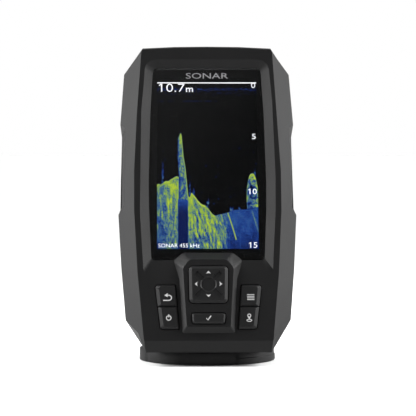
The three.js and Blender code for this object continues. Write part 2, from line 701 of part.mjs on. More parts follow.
function tiltCradle() {
  const plate = prism(rounded([[PLATE_HALF, PLATE_TOP], [PLATE_HALF, PLATE_BOTTOM],
    [-PLATE_HALF, PLATE_BOTTOM], [-PLATE_HALF, PLATE_TOP]], 1.5), PLATE_FRONT, PLATE_BACK);
  const knuckle = sidePrism([
    [PLATE_FRONT, PLATE_BOTTOM + 1], [PLATE_FRONT, -74], [PLATE_BACK, -76],
    ...arc(HINGE, HINGE_R, -90, 90, 10), [PLATE_BACK - 0.2, PLATE_BOTTOM + 1],
  ], -EAR_INNER + 0.6, EAR_INNER - 0.6);
  const lugs = [[-LUG_OUTER, -LUG_INNER], [LUG_INNER, LUG_OUTER]].map(([left, right]) => sidePrism([
    [PLATE_BACK - 0.5, LATCH_PIN[1] - 4], ...arc(LATCH_PIN, 3, -90, 90, 6),
    [PLATE_BACK - 0.5, LATCH_PIN[1] + 4],
  ], left, right));
  return cut(
    joined(plate, knuckle, ...lugs),
    block([-5, BACK, NOSE_WINDOW[0]], [5, PLATE_BACK + 1, NOSE_WINDOW[1]]),
    crossCylinder(HINGE, BOLT_R + GAP, -20, 20),
    crossCylinder(LATCH_PIN, 1.55, -20, 20, 12),
  );
}
inHead("tilt_cradle", tiltCradle(), "mount");

function releaseLatch() {
  const lever = sidePrism([
    [40.8, -52.6], [40.8, -55.4], [47.4, -56.8], [52.2, -56], [53.2, -44], [53.6, -31],
    [51.2, -30], [50, -38], [47.6, -41], [47.6, -51.4],
  ], -4.7, 4.7);
  return cut(
    lever,
    crossCylinder(LATCH_PIN, 1.55, -20, 20, 12),
    crossCylinder(LATCH_PIN, 3.6, -3.5, 3.5, 16),
  );
}
inHead("release_latch", releaseLatch(), "mount");
inHead("latch_pin", crossCylinder(LATCH_PIN, 1.25, -LUG_OUTER, LUG_OUTER, 12), "steel");

/** A wire coil around the latch pin. */
class CoilCurve extends THREE.Curve {
  constructor(centre, radius, left, right, turns) {
    super();
    Object.assign(this, { centre, radius, left, right, turns });
  }

  getPoint(t, target = new THREE.Vector3()) {
    const angle = 2 * Math.PI * this.turns * t;
    return target.set(
      this.left + (this.right - this.left) * t,
      this.centre[0] + this.radius * Math.cos(angle),
      this.centre[1] + this.radius * Math.sin(angle),
    );
  }
}
const wire = new THREE.Shape(arc([0, 0], 0.35, 0, 300, 5)
  .map(([x, y]) => new THREE.Vector2(x, y)));
inHead("latch_spring", new THREE.ExtrudeGeometry(wire, {
  steps: 32, bevelEnabled: false, extrudePath: new CoilCurve(LATCH_PIN, 2.3, -2.9, 2.9, 4),
}), "steel");

// ---------------------------------------------------------------- base and swivel

const DECK_HOLE_R = 2.1;
const deckHoles = [45, 135, 225, 315].map((degrees) => {
  const angle = THREE.MathUtils.degToRad(degrees);
  return [31.4 * Math.cos(angle), 31.4 * Math.sin(angle)];
});

function baseDisc() {
  const pocket = TABLE_R + 0.6;
  const body = turned([
    [0, 0], [BASE_R - BASE_CHAMFER, 0], [BASE_R, BASE_CHAMFER],
    [BASE_R, BASE_TOP - BASE_CHAMFER], [BASE_R - BASE_CHAMFER, BASE_TOP],
    [pocket, BASE_TOP], [pocket, TABLE_BOTTOM - GAP],
    [2.3, TABLE_BOTTOM - GAP], [2.3, 1], [0, 1],
  ], 48);
  const tools = deckHoles.map(([x, y]) => turned([
    [0, -1], [DECK_HOLE_R, -1], [DECK_HOLE_R, 3.6], [4.2, BASE_TOP], [4.2, BASE_TOP + 1],
    [0, BASE_TOP + 1],
  ], 16).translate(x, y, 0));
  return cut(body, ...tools);
}
onDeck("base_disc", baseDisc(), "mount");

function swivelTurntable() {
  const disc = turned([
    [0, TABLE_BOTTOM], [TABLE_R, TABLE_BOTTOM], [TABLE_R, BASE_TOP - 0.4],
    [TABLE_R - 0.4, BASE_TOP], [0, BASE_TOP],
  ], 48);
  const ears = [-EAR_INNER - EAR_THICK, EAR_INNER].map((left) => sidePrism([
    [9, BASE_TOP - 1], ...arc([HINGE_Y, HINGE_Z], HINGE_R, 160, -20, 10), [22.4, BASE_TOP - 1],
  ], left, left + EAR_THICK));
  const web = block([-EAR_INNER - 1, 17, BASE_TOP - 1], [EAR_INNER + 1, 21, BASE_TOP + 4]);
  return cut(
    joined(disc, ...ears, web),
    crossCylinder([HINGE_Y, HINGE_Z], BOLT_R + GAP, -20, 20),
    turned([[0, 0], [2.3, 0], [2.3, 10], [0, 10]], 16),
  );
}
onDeck("swivel_turntable", swivelTurntable(), "mount");
onDeck("swivel_washer", turned([
  [2.4, BASE_TOP + GAP], [5.2, BASE_TOP + GAP], [5.2, BASE_TOP + 1.1], [2.4, BASE_TOP + 1.1],
  [2.4, BASE_TOP + GAP],
]), "steel");
onDeck("swivel_screw", turned([
  [0, 1.4], [1.9, 1.4], [1.9, BASE_TOP + 1.4], [4.2, BASE_TOP + 1.4], [4, BASE_TOP + 2.8],
  [2.6, BASE_TOP + 3.6], [0, BASE_TOP + 3.8],
]), "steel");

const earOuter = EAR_INNER + EAR_THICK;
const hingeAt = [HINGE_Y, HINGE_Z];
const washerOuter = earOuter + GAP + 1;
[["left", -1], ["right", 1]].forEach(([name, side]) => {
  const ends = [earOuter + GAP, washerOuter].map((x) => x * side).sort((a, b) => a - b);
  onDeck(`tilt_washer_${name}`, cut(
    crossCylinder(hingeAt, 5.4, ends[0], ends[1]),
    crossCylinder(hingeAt, BOLT_R + GAP, -20, 20),
  ), "steel");
});
const BOLT_END = washerOuter + GAP + 7;
onDeck("tilt_bolt", joined(
  crossCylinder(hingeAt, BOLT_R, -washerOuter - GAP - 1, BOLT_END),
  crossCylinder(hingeAt, 4.6, -washerOuter - GAP - 3, -washerOuter - GAP, 6),
), "steel");

function tiltKnob() {
  const inner = washerOuter + GAP;
  const lobes = 8;
  const rim = Array.from({ length: lobes * 6 }, (_, i) => {
    const angle = (i * 2 * Math.PI) / (lobes * 6);
    const radius = 7.8 + 0.6 * Math.cos(lobes * angle);
    return [HINGE_Y + radius * Math.cos(angle), HINGE_Z + radius * Math.sin(angle)];
  });
  return cut(
    sidePrism(rim, inner, inner + 9),
    crossCylinder(hingeAt, BOLT_R + GAP, 0, BOLT_END + GAP),
  );
}
onDeck("tilt_knob", tiltKnob(), "rubber");

export default fishFinder;
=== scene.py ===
# %% [markdown]
# # A fish finder on its tilt and swivel mount
#
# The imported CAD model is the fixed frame: it says where every piece is and how it moves.
# This lesson dresses that frame. Moulded shells get rounded edges and a fine grain, the
# display gets its picture behind a clear lens, and the keys get their printed marks.

# %% Load the frame
import json
import math

import bmesh
import bpy
from mathutils import Matrix, Vector


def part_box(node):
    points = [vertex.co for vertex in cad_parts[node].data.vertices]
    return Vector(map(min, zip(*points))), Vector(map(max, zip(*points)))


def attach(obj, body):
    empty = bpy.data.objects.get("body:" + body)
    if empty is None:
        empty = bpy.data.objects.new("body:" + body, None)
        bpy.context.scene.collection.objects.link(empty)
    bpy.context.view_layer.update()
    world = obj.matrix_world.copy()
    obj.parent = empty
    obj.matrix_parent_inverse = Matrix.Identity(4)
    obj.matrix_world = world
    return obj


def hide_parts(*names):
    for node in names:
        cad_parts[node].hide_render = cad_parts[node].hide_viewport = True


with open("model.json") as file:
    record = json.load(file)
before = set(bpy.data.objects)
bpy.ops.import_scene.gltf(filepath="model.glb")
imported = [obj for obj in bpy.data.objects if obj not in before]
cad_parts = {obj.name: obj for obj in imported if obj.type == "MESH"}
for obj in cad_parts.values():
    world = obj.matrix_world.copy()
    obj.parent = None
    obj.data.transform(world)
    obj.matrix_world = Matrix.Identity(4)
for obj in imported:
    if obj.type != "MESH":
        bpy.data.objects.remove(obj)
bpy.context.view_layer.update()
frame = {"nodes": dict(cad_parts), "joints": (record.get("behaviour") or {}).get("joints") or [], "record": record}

# %% [markdown]
# ## The leaning frame
#
# The head unit leans back, so its pieces are easiest to draw in a frame of their own: x to
# the right, depth behind the lens, and height up the face, in millimetres. The joints in
# the record give both directions and one point, so nothing is measured twice.

# %% Directions and the lens centre, from the joints
MM = 0.001
JOINTS = {joint["name"]: joint for joint in frame["joints"]}
UP_FACE = Vector(JOINTS["unit_release"]["axis"]).normalized()
INTO_UNIT = Vector(JOINTS["select_press"]["axis"]).normalized()
PAD_HEIGHT = -68.6
PAD_PIVOT_DEPTH = 1.0
LENS_CENTRE = (
    Vector(JOINTS["pad_up_down"]["pos_m"])
    - INTO_UNIT * PAD_PIVOT_DEPTH * MM
    - UP_FACE * PAD_HEIGHT * MM
)
LEANING = Matrix((
    (MM, 0, 0, LENS_CENTRE.x),
    (0, INTO_UNIT.y * MM, UP_FACE.y * MM, LENS_CENTRE.y),
    (0, INTO_UNIT.z * MM, UP_FACE.z * MM, LENS_CENTRE.z),
    (0, 0, 0, 1),
))
UPRIGHT = Matrix.Diagonal((MM, MM, MM, 1))
print("lens centre:", [round(c / MM, 2) for c in LENS_CENTRE])

# %% [markdown]
# ## Making meshes
#
# Every helper returns an object at the origin whose place is in its mesh, as a CAD node's
# is. Outlines are lists of points, and round stretches are worked out from an angle.

# %% Mesh helpers


def new_object(name, mesh):
    """Links a mesh to the scene as an object at the origin."""
    thing = bpy.data.objects.new(name, mesh)
    bpy.context.scene.collection.objects.link(thing)
    return thing


def from_bmesh(name, bm, matrix, smooth=35):
    """Finishes a bmesh drawn in millimetres: facing out, placed, and smoothly shaded."""
    bmesh.ops.recalc_face_normals(bm, faces=bm.faces)
    bm.transform(matrix)
    mesh = bpy.data.meshes.new(name)
    bm.to_mesh(mesh)
    bm.free()
    shade(mesh, smooth)
    return new_object(name, mesh)


def shade(mesh, angle):
    """Smooth shading with hard edges kept above an angle in degrees."""
    mesh.polygons.foreach_set("use_smooth", [True] * len(mesh.polygons))
    mesh.set_sharp_from_angle(angle=math.radians(angle))


def arc(centre, radius, start, end, steps):
    """Points on an arc, angles in degrees."""
    turns = [math.radians(start + (end - start) * i / steps) for i in range(steps + 1)]
    return [(centre[0] + radius * math.cos(t), centre[1] + radius * math.sin(t)) for t in turns]


def slab(bm, outline, front, back):
    """Adds a closed prism of an (x, height) outline between two depths to a bmesh."""
    near = [bm.verts.new((x, front, v)) for x, v in outline]
    far = [bm.verts.new((x, back, v)) for x, v in outline]
    bm.faces.new(near)
    bm.faces.new(far)
    count = len(outline)
    for i in range(count):
        j = (i + 1) % count
        bm.faces.new((near[i], near[j], far[j], far[i]))


WELD = 1e-4


def turned(name, profile, sides, matrix, place=None, smooth=35):
    """A turned solid about z from a closed (radius, height) profile, both in millimetres."""
    bm = bmesh.new()
    rings = []
    for i in range(sides):
        turn = 2 * math.pi * i / sides
        ring = [Vector((r * math.cos(turn), r * math.sin(turn), z)) for r, z in profile]
        rings.append([bm.verts.new(place @ p if place else p) for p in ring])
    for i in range(sides):
        here, after = rings[i], rings[(i + 1) % sides]
        for k in range(len(profile)):
            m = (k + 1) % len(profile)
            bm.faces.new((here[k], after[k], after[m], here[m]))
    bmesh.ops.remove_doubles(bm, verts=bm.verts, dist=WELD)
    return from_bmesh(name, bm, matrix, smooth)


def applied(thing):
    """The object's evaluated mesh as its own, with every modifier gone."""
    graph = bpy.context.evaluated_depsgraph_get()
    mesh = bpy.data.meshes.new_from_object(thing.evaluated_get(graph))
    thing.modifiers.clear()
    thing.data = mesh
    return thing


# %% [markdown]
# ## Rounded copies of the moulded pieces
#
# Moulded plastic never has a knife edge. A copy of the CAD mesh is merged, its flat faces
# are joined back into one each, and a narrow bevel rounds what is left. Weighted normals
# keep the flats flat, so only the edges catch the light.

# %% Round a CAD node's edges


def merged_copy(node):
    """A copy of a CAD node's mesh with its loose triangles merged into flat faces."""
    mesh = frame["nodes"][node].data.copy()
    mesh.materials.clear()
    bm = bmesh.new()
    bm.from_mesh(mesh)
    bmesh.ops.remove_doubles(bm, verts=bm.verts, dist=2e-6)
    bmesh.ops.dissolve_degenerate(bm, edges=bm.edges, dist=5e-6)
    bmesh.ops.dissolve_limit(
        bm, angle_limit=math.radians(1.2), verts=bm.verts, edges=bm.edges
    )
    bm.to_mesh(mesh)
    bm.free()
    return new_object(node + "_shaped", mesh)


def soften(thing, width, segments=2, angle=28):
    """Bevels the sharp edges of an object by a width in millimetres."""
    bevel = thing.modifiers.new("edges", "BEVEL")
    bevel.width = width * MM
    bevel.segments = segments
    bevel.limit_method = "ANGLE"
    bevel.angle_limit = math.radians(angle)
    bevel.use_clamp_overlap = True
    applied(thing)
    shade(thing.data, 40)
    normals = thing.modifiers.new("flats", "WEIGHTED_NORMAL")
    normals.keep_sharp = True
    return applied(thing)


def cut_out(thing, tool):
    """Cuts one object out of another, and removes the tool."""
    boolean = thing.modifiers.new("cut", "BOOLEAN")
    boolean.operation = "DIFFERENCE"
    boolean.solver = "EXACT"
    boolean.object = tool
    applied(thing)
    bpy.data.objects.remove(tool)
    return thing


# %% [markdown]
# ## Shader maths as Python
#
# A Value wraps one socket, so that masks and mixes read as ordinary arithmetic. A Finish
# builds one material; its node method takes any node's type, settings and inputs.

# %% Value and Finish


class Value:
    """One number socket that adds Math nodes when it is used in an expression."""

    def __init__(self, finish, socket):
        self.finish, self.socket = finish, socket

    def maths(self, operation, *others):
        inputs = dict(enumerate((self, *others)))
        return self.finish.node("ShaderNodeMath", {"operation": operation}, inputs)

    def __add__(self, other):
        return self.maths("ADD", other)

    def __sub__(self, other):
        return self.maths("SUBTRACT", other)

    def __rsub__(self, other):
        return self.finish.number(other).maths("SUBTRACT", self)

    def __mul__(self, other):
        return self.maths("MULTIPLY", other)

    def __gt__(self, other):
        return self.maths("GREATER_THAN", other)

    def __lt__(self, other):
        return self.maths("LESS_THAN", other)

    def either(self, other):
        return self.maths("MAXIMUM", other)

    def ramp(self, low, high):
        """0 at low, 1 at high, smooth between, whichever of the two is larger."""
        return self.finish.node(
            "ShaderNodeMapRange", {"interpolation_type": "SMOOTHSTEP"},
            {"Value": self, "From Min": low, "From Max": high},
        )

    __radd__, __rmul__ = __add__, __mul__


class Finish:
    """One procedural material."""

    def __init__(self, name):
        self.material = bpy.data.materials.new(name)
        self.material.use_nodes = True
        self.tree = self.material.node_tree
        self.tree.nodes.clear()
        self.coordinates = self.tree.nodes.new("ShaderNodeTexCoord").outputs["Object"]

    def node(self, kind, settings=None, inputs=None, output=0):
        """Adds a node; inputs are numbers, tuples or Values by socket name or index."""
        made = self.tree.nodes.new(kind)
        for key, setting in (settings or {}).items():
            setattr(made, key, setting)
        for key, given in (inputs or {}).items():
            self.feed(made.inputs[key], given)
        return Value(self, made.outputs[output])

    def feed(self, socket, given):
        if isinstance(given, Value):
            self.tree.links.new(given.socket, socket)
        elif isinstance(given, bpy.types.NodeSocket):
            self.tree.links.new(given, socket)
        else:
            socket.default_value = given

    def number(self, amount):
        made = self.tree.nodes.new("ShaderNodeValue")
        made.outputs[0].default_value = amount
        return Value(self, made.outputs[0])

    def noise(self, scale, detail=2.0, stretch=(1, 1, 1)):
        """Noise over the piece, at a scale in features per metre."""
        placed = self.node(
            "ShaderNodeMapping", None, {"Vector": self.coordinates, "Scale": stretch}
        )
        inputs = {"Vector": placed, "Scale": scale, "Detail": detail, "Roughness": 0.5}
        return self.node("ShaderNodeTexNoise", None, inputs)

    def colours(self, factor, stops):
        """A colour ramp from (position, colour) stops."""
        made = self.tree.nodes.new("ShaderNodeValToRGB")
        elements = made.color_ramp.elements
        while len(elements) < len(stops):
            elements.new(0.5)
        for element, (position, colour) in zip(elements, stops):
            element.position = position
            element.color = (*colour, 1)
        self.feed(made.inputs["Fac"], factor)
        return Value(self, made.outputs["Color"])

    def mix(self, factor, first, second):
        """Mixes two colours."""
        made = self.tree.nodes.new("ShaderNodeMix")
        made.data_type = "RGBA"
        self.feed(made.inputs["Factor"], factor)
        for socket, given in ((made.inputs[6], first), (made.inputs[7], second)):
            self.feed(socket, given if isinstance(given, Value) else (*given, 1))
        return Value(self, made.outputs[2])

    def bump(self, height, strength, distance):
        inputs = {"Height": height, "Strength": strength, "Distance": distance}
        return self.node("ShaderNodeBump", None, inputs)

    def surface(self, inputs):
        """Ends the material in a Principled BSDF and returns the material."""
        shader = self.node("ShaderNodeBsdfPrincipled", None, inputs)
        output = self.tree.nodes.new("ShaderNodeOutputMaterial")
        self.tree.links.new(shader.socket, output.inputs["Surface"])
        return self.material


# %% [markdown]
# ## Finishes
#
# The housing is charcoal plastic from a spark-eroded mould: a grain about 0.15 mm across,
# with broader, barely visible changes of gloss where it was handled. The mount is the same
# resin with a coarser grain, and the keys are a little smoother.

# %% Moulded plastics and rubber


HANDLED = 0.05
GRAIN_GLOSS = 0.06


def moulded(name, colour, roughness, grain=7000, depth=0.018):
    """Moulded plastic or rubber with a fine grain and faint handling marks."""
    finish = Finish(name)
    patches = finish.noise(55, detail=3)
    fine = finish.noise(grain, detail=1.5)
    shade_factor = patches * 0.6 + fine * 0.4
    dark = tuple(channel * 0.82 for channel in colour)
    light = tuple(channel * 1.18 for channel in colour)
    base = finish.mix(shade_factor, dark, light)
    height = fine + finish.noise(grain / 3, detail=1) * 0.5
    return finish.surface({
        "Base Color": base,
        "Roughness": (patches * (2 * HANDLED) + fine * GRAIN_GLOSS
                      + (roughness - HANDLED - GRAIN_GLOSS / 2)),
        "Normal": finish.bump(height, 0.5, depth * MM),
        "IOR": 1.26,
    })


HOUSING = moulded("housing_charcoal", (0.0088, 0.0088, 0.0090), 0.46)
KEYS = moulded("key_charcoal", (0.0120, 0.0120, 0.0123), 0.44, grain=9000, depth=0.012)
MOUNT = moulded("mount_charcoal", (0.0088, 0.0088, 0.0090), 0.54, grain=5500, depth=0.025)
RUBBER = moulded("black_rubber", (0.012, 0.012, 0.012), 0.72, grain=6000, depth=0.02)
BLACK = moulded("black_film", (0.0022, 0.0022, 0.0024), 0.62, grain=4000, depth=0.004)
CERAMIC = moulded("antenna_ceramic", (0.55, 0.45, 0.3), 0.6, grain=4000)
LIGHT_GUIDE = moulded("light_guide", (0.7, 0.72, 0.74), 0.35, grain=2500)
print("plastics:", HOUSING.name, KEYS.name, MOUNT.name, RUBBER.name)

# %% [markdown]
# Metal parts are turned or stamped: brushing runs one way, so the noise is stretched along
# one axis. The boards are green solder mask over faint copper tracks.

# %% Metals and boards


def metal(name, colour, roughness, stretch=(1, 1, 12)):
    finish = Finish(name)
    streaks = finish.noise(1800, detail=3, stretch=stretch)
    stains = finish.noise(90, detail=2)
    dark = tuple(channel * 0.8 for channel in colour)
    return finish.surface({
        "Base Color": finish.mix(streaks * 0.5 + stains * 0.5, dark, colour),
        "Metallic": 1.0,
        "Roughness": streaks * 0.18 + stains * 0.08 + (roughness - 0.1),
        "Normal": finish.bump(streaks, 0.25, 0.01 * MM),
    })


STEEL = metal("stainless", (0.56, 0.57, 0.59), 0.32)
GOLD = metal("plated_contact", (0.83, 0.62, 0.28), 0.25, stretch=(1, 1, 1))


def circuit_board():
    finish = Finish("solder_mask")
    tracks = finish.node(
        "ShaderNodeTexBrick", {"offset": 0.5},
        {"Vector": finish.coordinates, "Scale": 260.0, "Mortar Size": 0.03,
         "Color1": (0, 0, 0, 1), "Color2": (0.25, 0.25, 0.25, 1), "Mortar": (1, 1, 1, 1)},
        output="Fac",
    )
    blotches = finish.noise(400, detail=2)
    green = finish.mix(blotches, (0.004, 0.045, 0.022), (0.008, 0.075, 0.036))
    return finish.surface({
        "Base Color": finish.mix(tracks * 0.45, green, (0.03, 0.16, 0.07)),
        "Roughness": blotches * 0.2 + 0.28,
        "Normal": finish.bump(tracks, 0.3, 0.03 * MM),
    })


BOARD = circuit_board()
FLEX = moulded("flex_film", (0.32, 0.14, 0.03), 0.38, grain=1500)

# %% [markdown]
# Printing on the keys is a thin, slightly uneven white ink with a faint painted glow, so the
# marks stay light under any lamp. The lens is clear hard-coated plastic, so it stays nearly
# smooth and lets the picture through.

# %% Ink with a faint painted glow, and the lens


def ink(name, colour):
    finish = Finish(name)
    coverage = finish.noise(5200, detail=2)
    faded = tuple(channel * 0.86 for channel in colour)
    return finish.surface({
        "Base Color": finish.mix(coverage, faded, colour),
        "Roughness": coverage * 0.2 + 0.4,
        # Painted glow: the ink gives off a little light of its own colour, though it is no lamp.
        "Emission Color": finish.mix(coverage, faded, colour),
        "Emission Strength": 0.08,
    })


WHITE_INK = ink("white_ink", (0.52, 0.52, 0.52))
SILVER_INK = ink("silver_ink", (0.27, 0.27, 0.28))


def clear_lens():
    finish = Finish("clear_lens")
    haze = finish.noise(120, detail=2)
    return finish.surface({
        "Base Color": (0.93, 0.94, 0.95, 1),
        "Roughness": haze * 0.03 + 0.02,
        "IOR": 1.42,
        "Transmission Weight": 1.0,
    })


LENS = clear_lens()

# %% [markdown]
# ## The front cover
#
# The front cover is one moulding: a flat face, long bevels down both flanks, a screen
# recess, and a raised hood round the arrow pad. Its CAD shape is already right, so it is
# copied and its edges are rounded.

# %% Shells


def dress(thing, body, material, slot, *nodes):
    """Gives a finished piece its material, and says what it rides on and replaces."""
    if material:
        thing.data.materials.clear()
        thing.data.materials.append(material)
    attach(thing, body)
    if nodes:
        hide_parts(*nodes)
    return thing


BODY_OF = {
    node: body
    for body, nodes in frame["record"]["behaviour"]["bodies"].items()
    for node in nodes
}


def rounded_piece(node, width, material, slot, segments=2):
    """A CAD node with rounded edges, standing for the node."""
    thing = soften(merged_copy(node), width, segments)
    print(node, "now has", len(thing.data.polygons), "faces")
    return dress(thing, BODY_OF[node], material, slot, node)


rounded_piece("front_cover", 0.35, HOUSING, "housing", 3)
rounded_piece("rear_cover", 0.5, HOUSING, "housing", 3)

# %% [markdown]
# ## Keys and their marks
#
# Each key is a bevelled cap with a printed mark. The marks are flat shapes built from
# arcs and short outlines, a few hundredths of a millimetre proud, and they ride on their
# own key, so they travel with it.

# %% Key caps
for node in ("select_key", "back_key", "power_key", "menu_key", "mark_key"):
    rounded_piece(node, 0.3, KEYS, "keys", 3)

# %% The arrow pad
HOOD_KEY_FRONT = -6.5
rounded_piece("arrow_pad", 0.22, KEYS, "keys", 2)

# %% Marks
INK_PROUD = 0.04


def printed(name, outlines, body, front_depth, material=WHITE_INK, slot="keys"):
    """Flat printed shapes from (x, height) outlines, just proud of a surface."""
    bm = bmesh.new()
    for outline in outlines:
        slab(bm, outline, front_depth - INK_PROUD, front_depth + 0.02)
    return dress(from_bmesh(name, bm, LEANING, 20), body, material, slot)


def stroke(points, width):
    """The outline of a constant-width line along a list of points."""
    left, right = [], []
    for i, point in enumerate(points):
        before, after = points[max(i - 1, 0)], points[min(i + 1, len(points) - 1)]
        along = Vector((after[0] - before[0], after[1] - before[1])).normalized()
        shift = Vector((-along.y, along.x)) * width / 2
        left.append((point[0] + shift.x, point[1] + shift.y))
        right.append((point[0] - shift.x, point[1] - shift.y))
    return left + right[::-1]


def moved(outline, x, v):
    return [(px + x, pv + v) for px, pv in outline]


def arrowhead(turn):
    """A short arrowhead with a hollow base, pointing out from the pad's centre."""
    shape = [(0, 0.9), (-1.3, -0.65), (-0.7, -0.4), (0, -0.3), (0.7, -0.4), (1.3, -0.65)]
    angle = math.radians(turn)
    reach = 6.3
    points = [(x, v + reach) for x, v in shape]
    return [(x * math.cos(angle) - v * math.sin(angle),
             x * math.sin(angle) + v * math.cos(angle) + PAD_HEIGHT) for x, v in points]


SIDE_KEY_FRONT = -4.0
printed("pad_arrows", [arrowhead(turn) for turn in (0, 90, 180, 270)], "pad", HOOD_KEY_FRONT)
tick = [(-1.15, -0.1), (-0.45, -1.15), (1.25, 1.3)]
printed("select_mark", [moved(stroke(tick, 0.55), 0, -87.2)], "select_button", HOOD_KEY_FRONT)
hook = [(-2.1, -1.5), (0.85, -1.5), *arc((0.85, -0.1), 1.4, -90, 90, 10)[1:], (0.1, 1.3)]
head = [(-1.5, 1.3), (0.25, 2.4), (0.25, 0.2)]
printed("back_mark", [moved(stroke(hook, 0.55), -21.6, -75.3), moved(head, -21.6, -75.3)],
        "back_button", SIDE_KEY_FRONT)


def ring(centre, outer_x, outer_v, width, sides=28):
    """An oval ring as a chain of short slabs."""
    angles = [2 * math.pi * i / sides for i in range(sides + 1)]
    edge = [(centre[0] + outer_x * math.cos(a), centre[1] + outer_v * math.sin(a)) for a in angles]
    hole = [(centre[0] + (outer_x - width) * math.cos(a),
             centre[1] + (outer_v - width) * math.sin(a)) for a in angles]
    return [[edge[i], edge[i + 1], hole[i + 1], hole[i]] for i in range(sides)]


stub = [(-0.24, 0.4), (0.24, 0.4), (0.24, 2.0), (-0.24, 2.0)]
printed("power_mark", [*ring((-20.8, -86.4), 1.45, 1.45, 0.48), moved(stub, -20.8, -86.4)],
        "power_button", SIDE_KEY_FRONT)
bars = [[(-1.9, v), (1.9, v), (1.9, v + 0.38), (-1.9, v + 0.38)] for v in (1.2, 0.3, -0.6, -1.5)]
printed("menu_mark", [moved(bar, 22.1, -75.1) for bar in bars], "menu_button", SIDE_KEY_FRONT)
pin = [(-0.75, -0.1), (0.75, -0.1), (0, -1.6)]
printed("waypoint_mark", [moved(pin, 21.2, -85.8), *ring((21.2, -85.1), 1.0, 1.0, 0.42),
                          *ring((21.2, -87.7), 1.5, 0.75, 0.36)],
        "mark_button", SIDE_KEY_FRONT)

# %% [markdown]
# ## The display
#
# The picture is a sonar trace, drawn by the shader in its own coordinates: x runs from 0
# at the left to 1 at the right, and y from 0 at the top down to 1. Curves give the lake
# bed and both sides of a tall target, noise gives the echoes, and one ramp turns echo
# strength into colour.

# %% The shape of the trace
PICTURE_HALF_WIDTH, PICTURE_HALF_HEIGHT = 26.95, 47.75
BLACK_GLASS = (0.0012, 0.0013, 0.0015)
BED = [
    (0, 0.618), (0.017, 0.614), (0.034, 0.619), (0.086, 0.597), (0.103, 0.599),
    (0.155, 0.582), (0.197, 0.568), (0.214, 0.574), (0.25, 0.62), (0.31, 0.688),
    (0.323, 0.698), (0.341, 0.666), (0.369, 0.684), (0.403, 0.713), (0.431, 0.732),
    (0.479, 0.744), (0.507, 0.763), (0.541, 0.790), (0.566, 0.803), (0.617, 0.798),
    (0.672, 0.790), (0.73, 0.778), (0.769, 0.769), (0.883, 0.765), (0.921, 0.761), (1, 0.754),
]
TARGET_LEFT = [(0, 0.236), (0.303, 0.236), (0.345, 0.205), (0.45, 0.202), (0.52, 0.209),
               (0.575, 0.213), (1, 0.215)]
TARGET_RIGHT = [(0, 0.236), (0.303, 0.236), (0.33, 0.248), (0.449, 0.265), (0.52, 0.284),
                (0.6, 0.297), (0.69, 0.312), (1, 0.312)]
CREST = [(0, 1), (0.31, 1), (0.5, 0.95), (0.566, 0.5), (0.6, 0.0), (0.87, 0.0), (1, 0.4)]
BODY = [
    (0, 0.42), (0.06, 0.5), (0.12, 0.66), (0.2, 0.72), (0.33, 0.76), (0.4, 0.58),
    (0.46, 0.6), (0.56, 0.58), (0.63, 0.52), (0.67, 0.36), (0.70, 0.14), (1, 0.1),
]


def curve_of(finish, factor, points):
    """Straight lines through (input, output) points, as a Value."""
    made = finish.tree.nodes.new("ShaderNodeFloatCurve")
    curve = made.mapping.curves[0]
    while len(curve.points) < len(points):
        curve.points.new(0.5, 0.5)
    for point, place in zip(curve.points, sorted(points)):
        point.location = place
        point.handle_type = "VECTOR"
    made.mapping.update()
    finish.feed(made.inputs["Value"], factor)
    return Value(finish, made.outputs["Value"])


# %% [markdown]
# Each echo is a mask times a strength. Patches and veins of noise fill the lake bed, a
# bright crest follows its edge, and a column under the target stays dark, as it would in
# an acoustic shadow.

# %% The picture's material


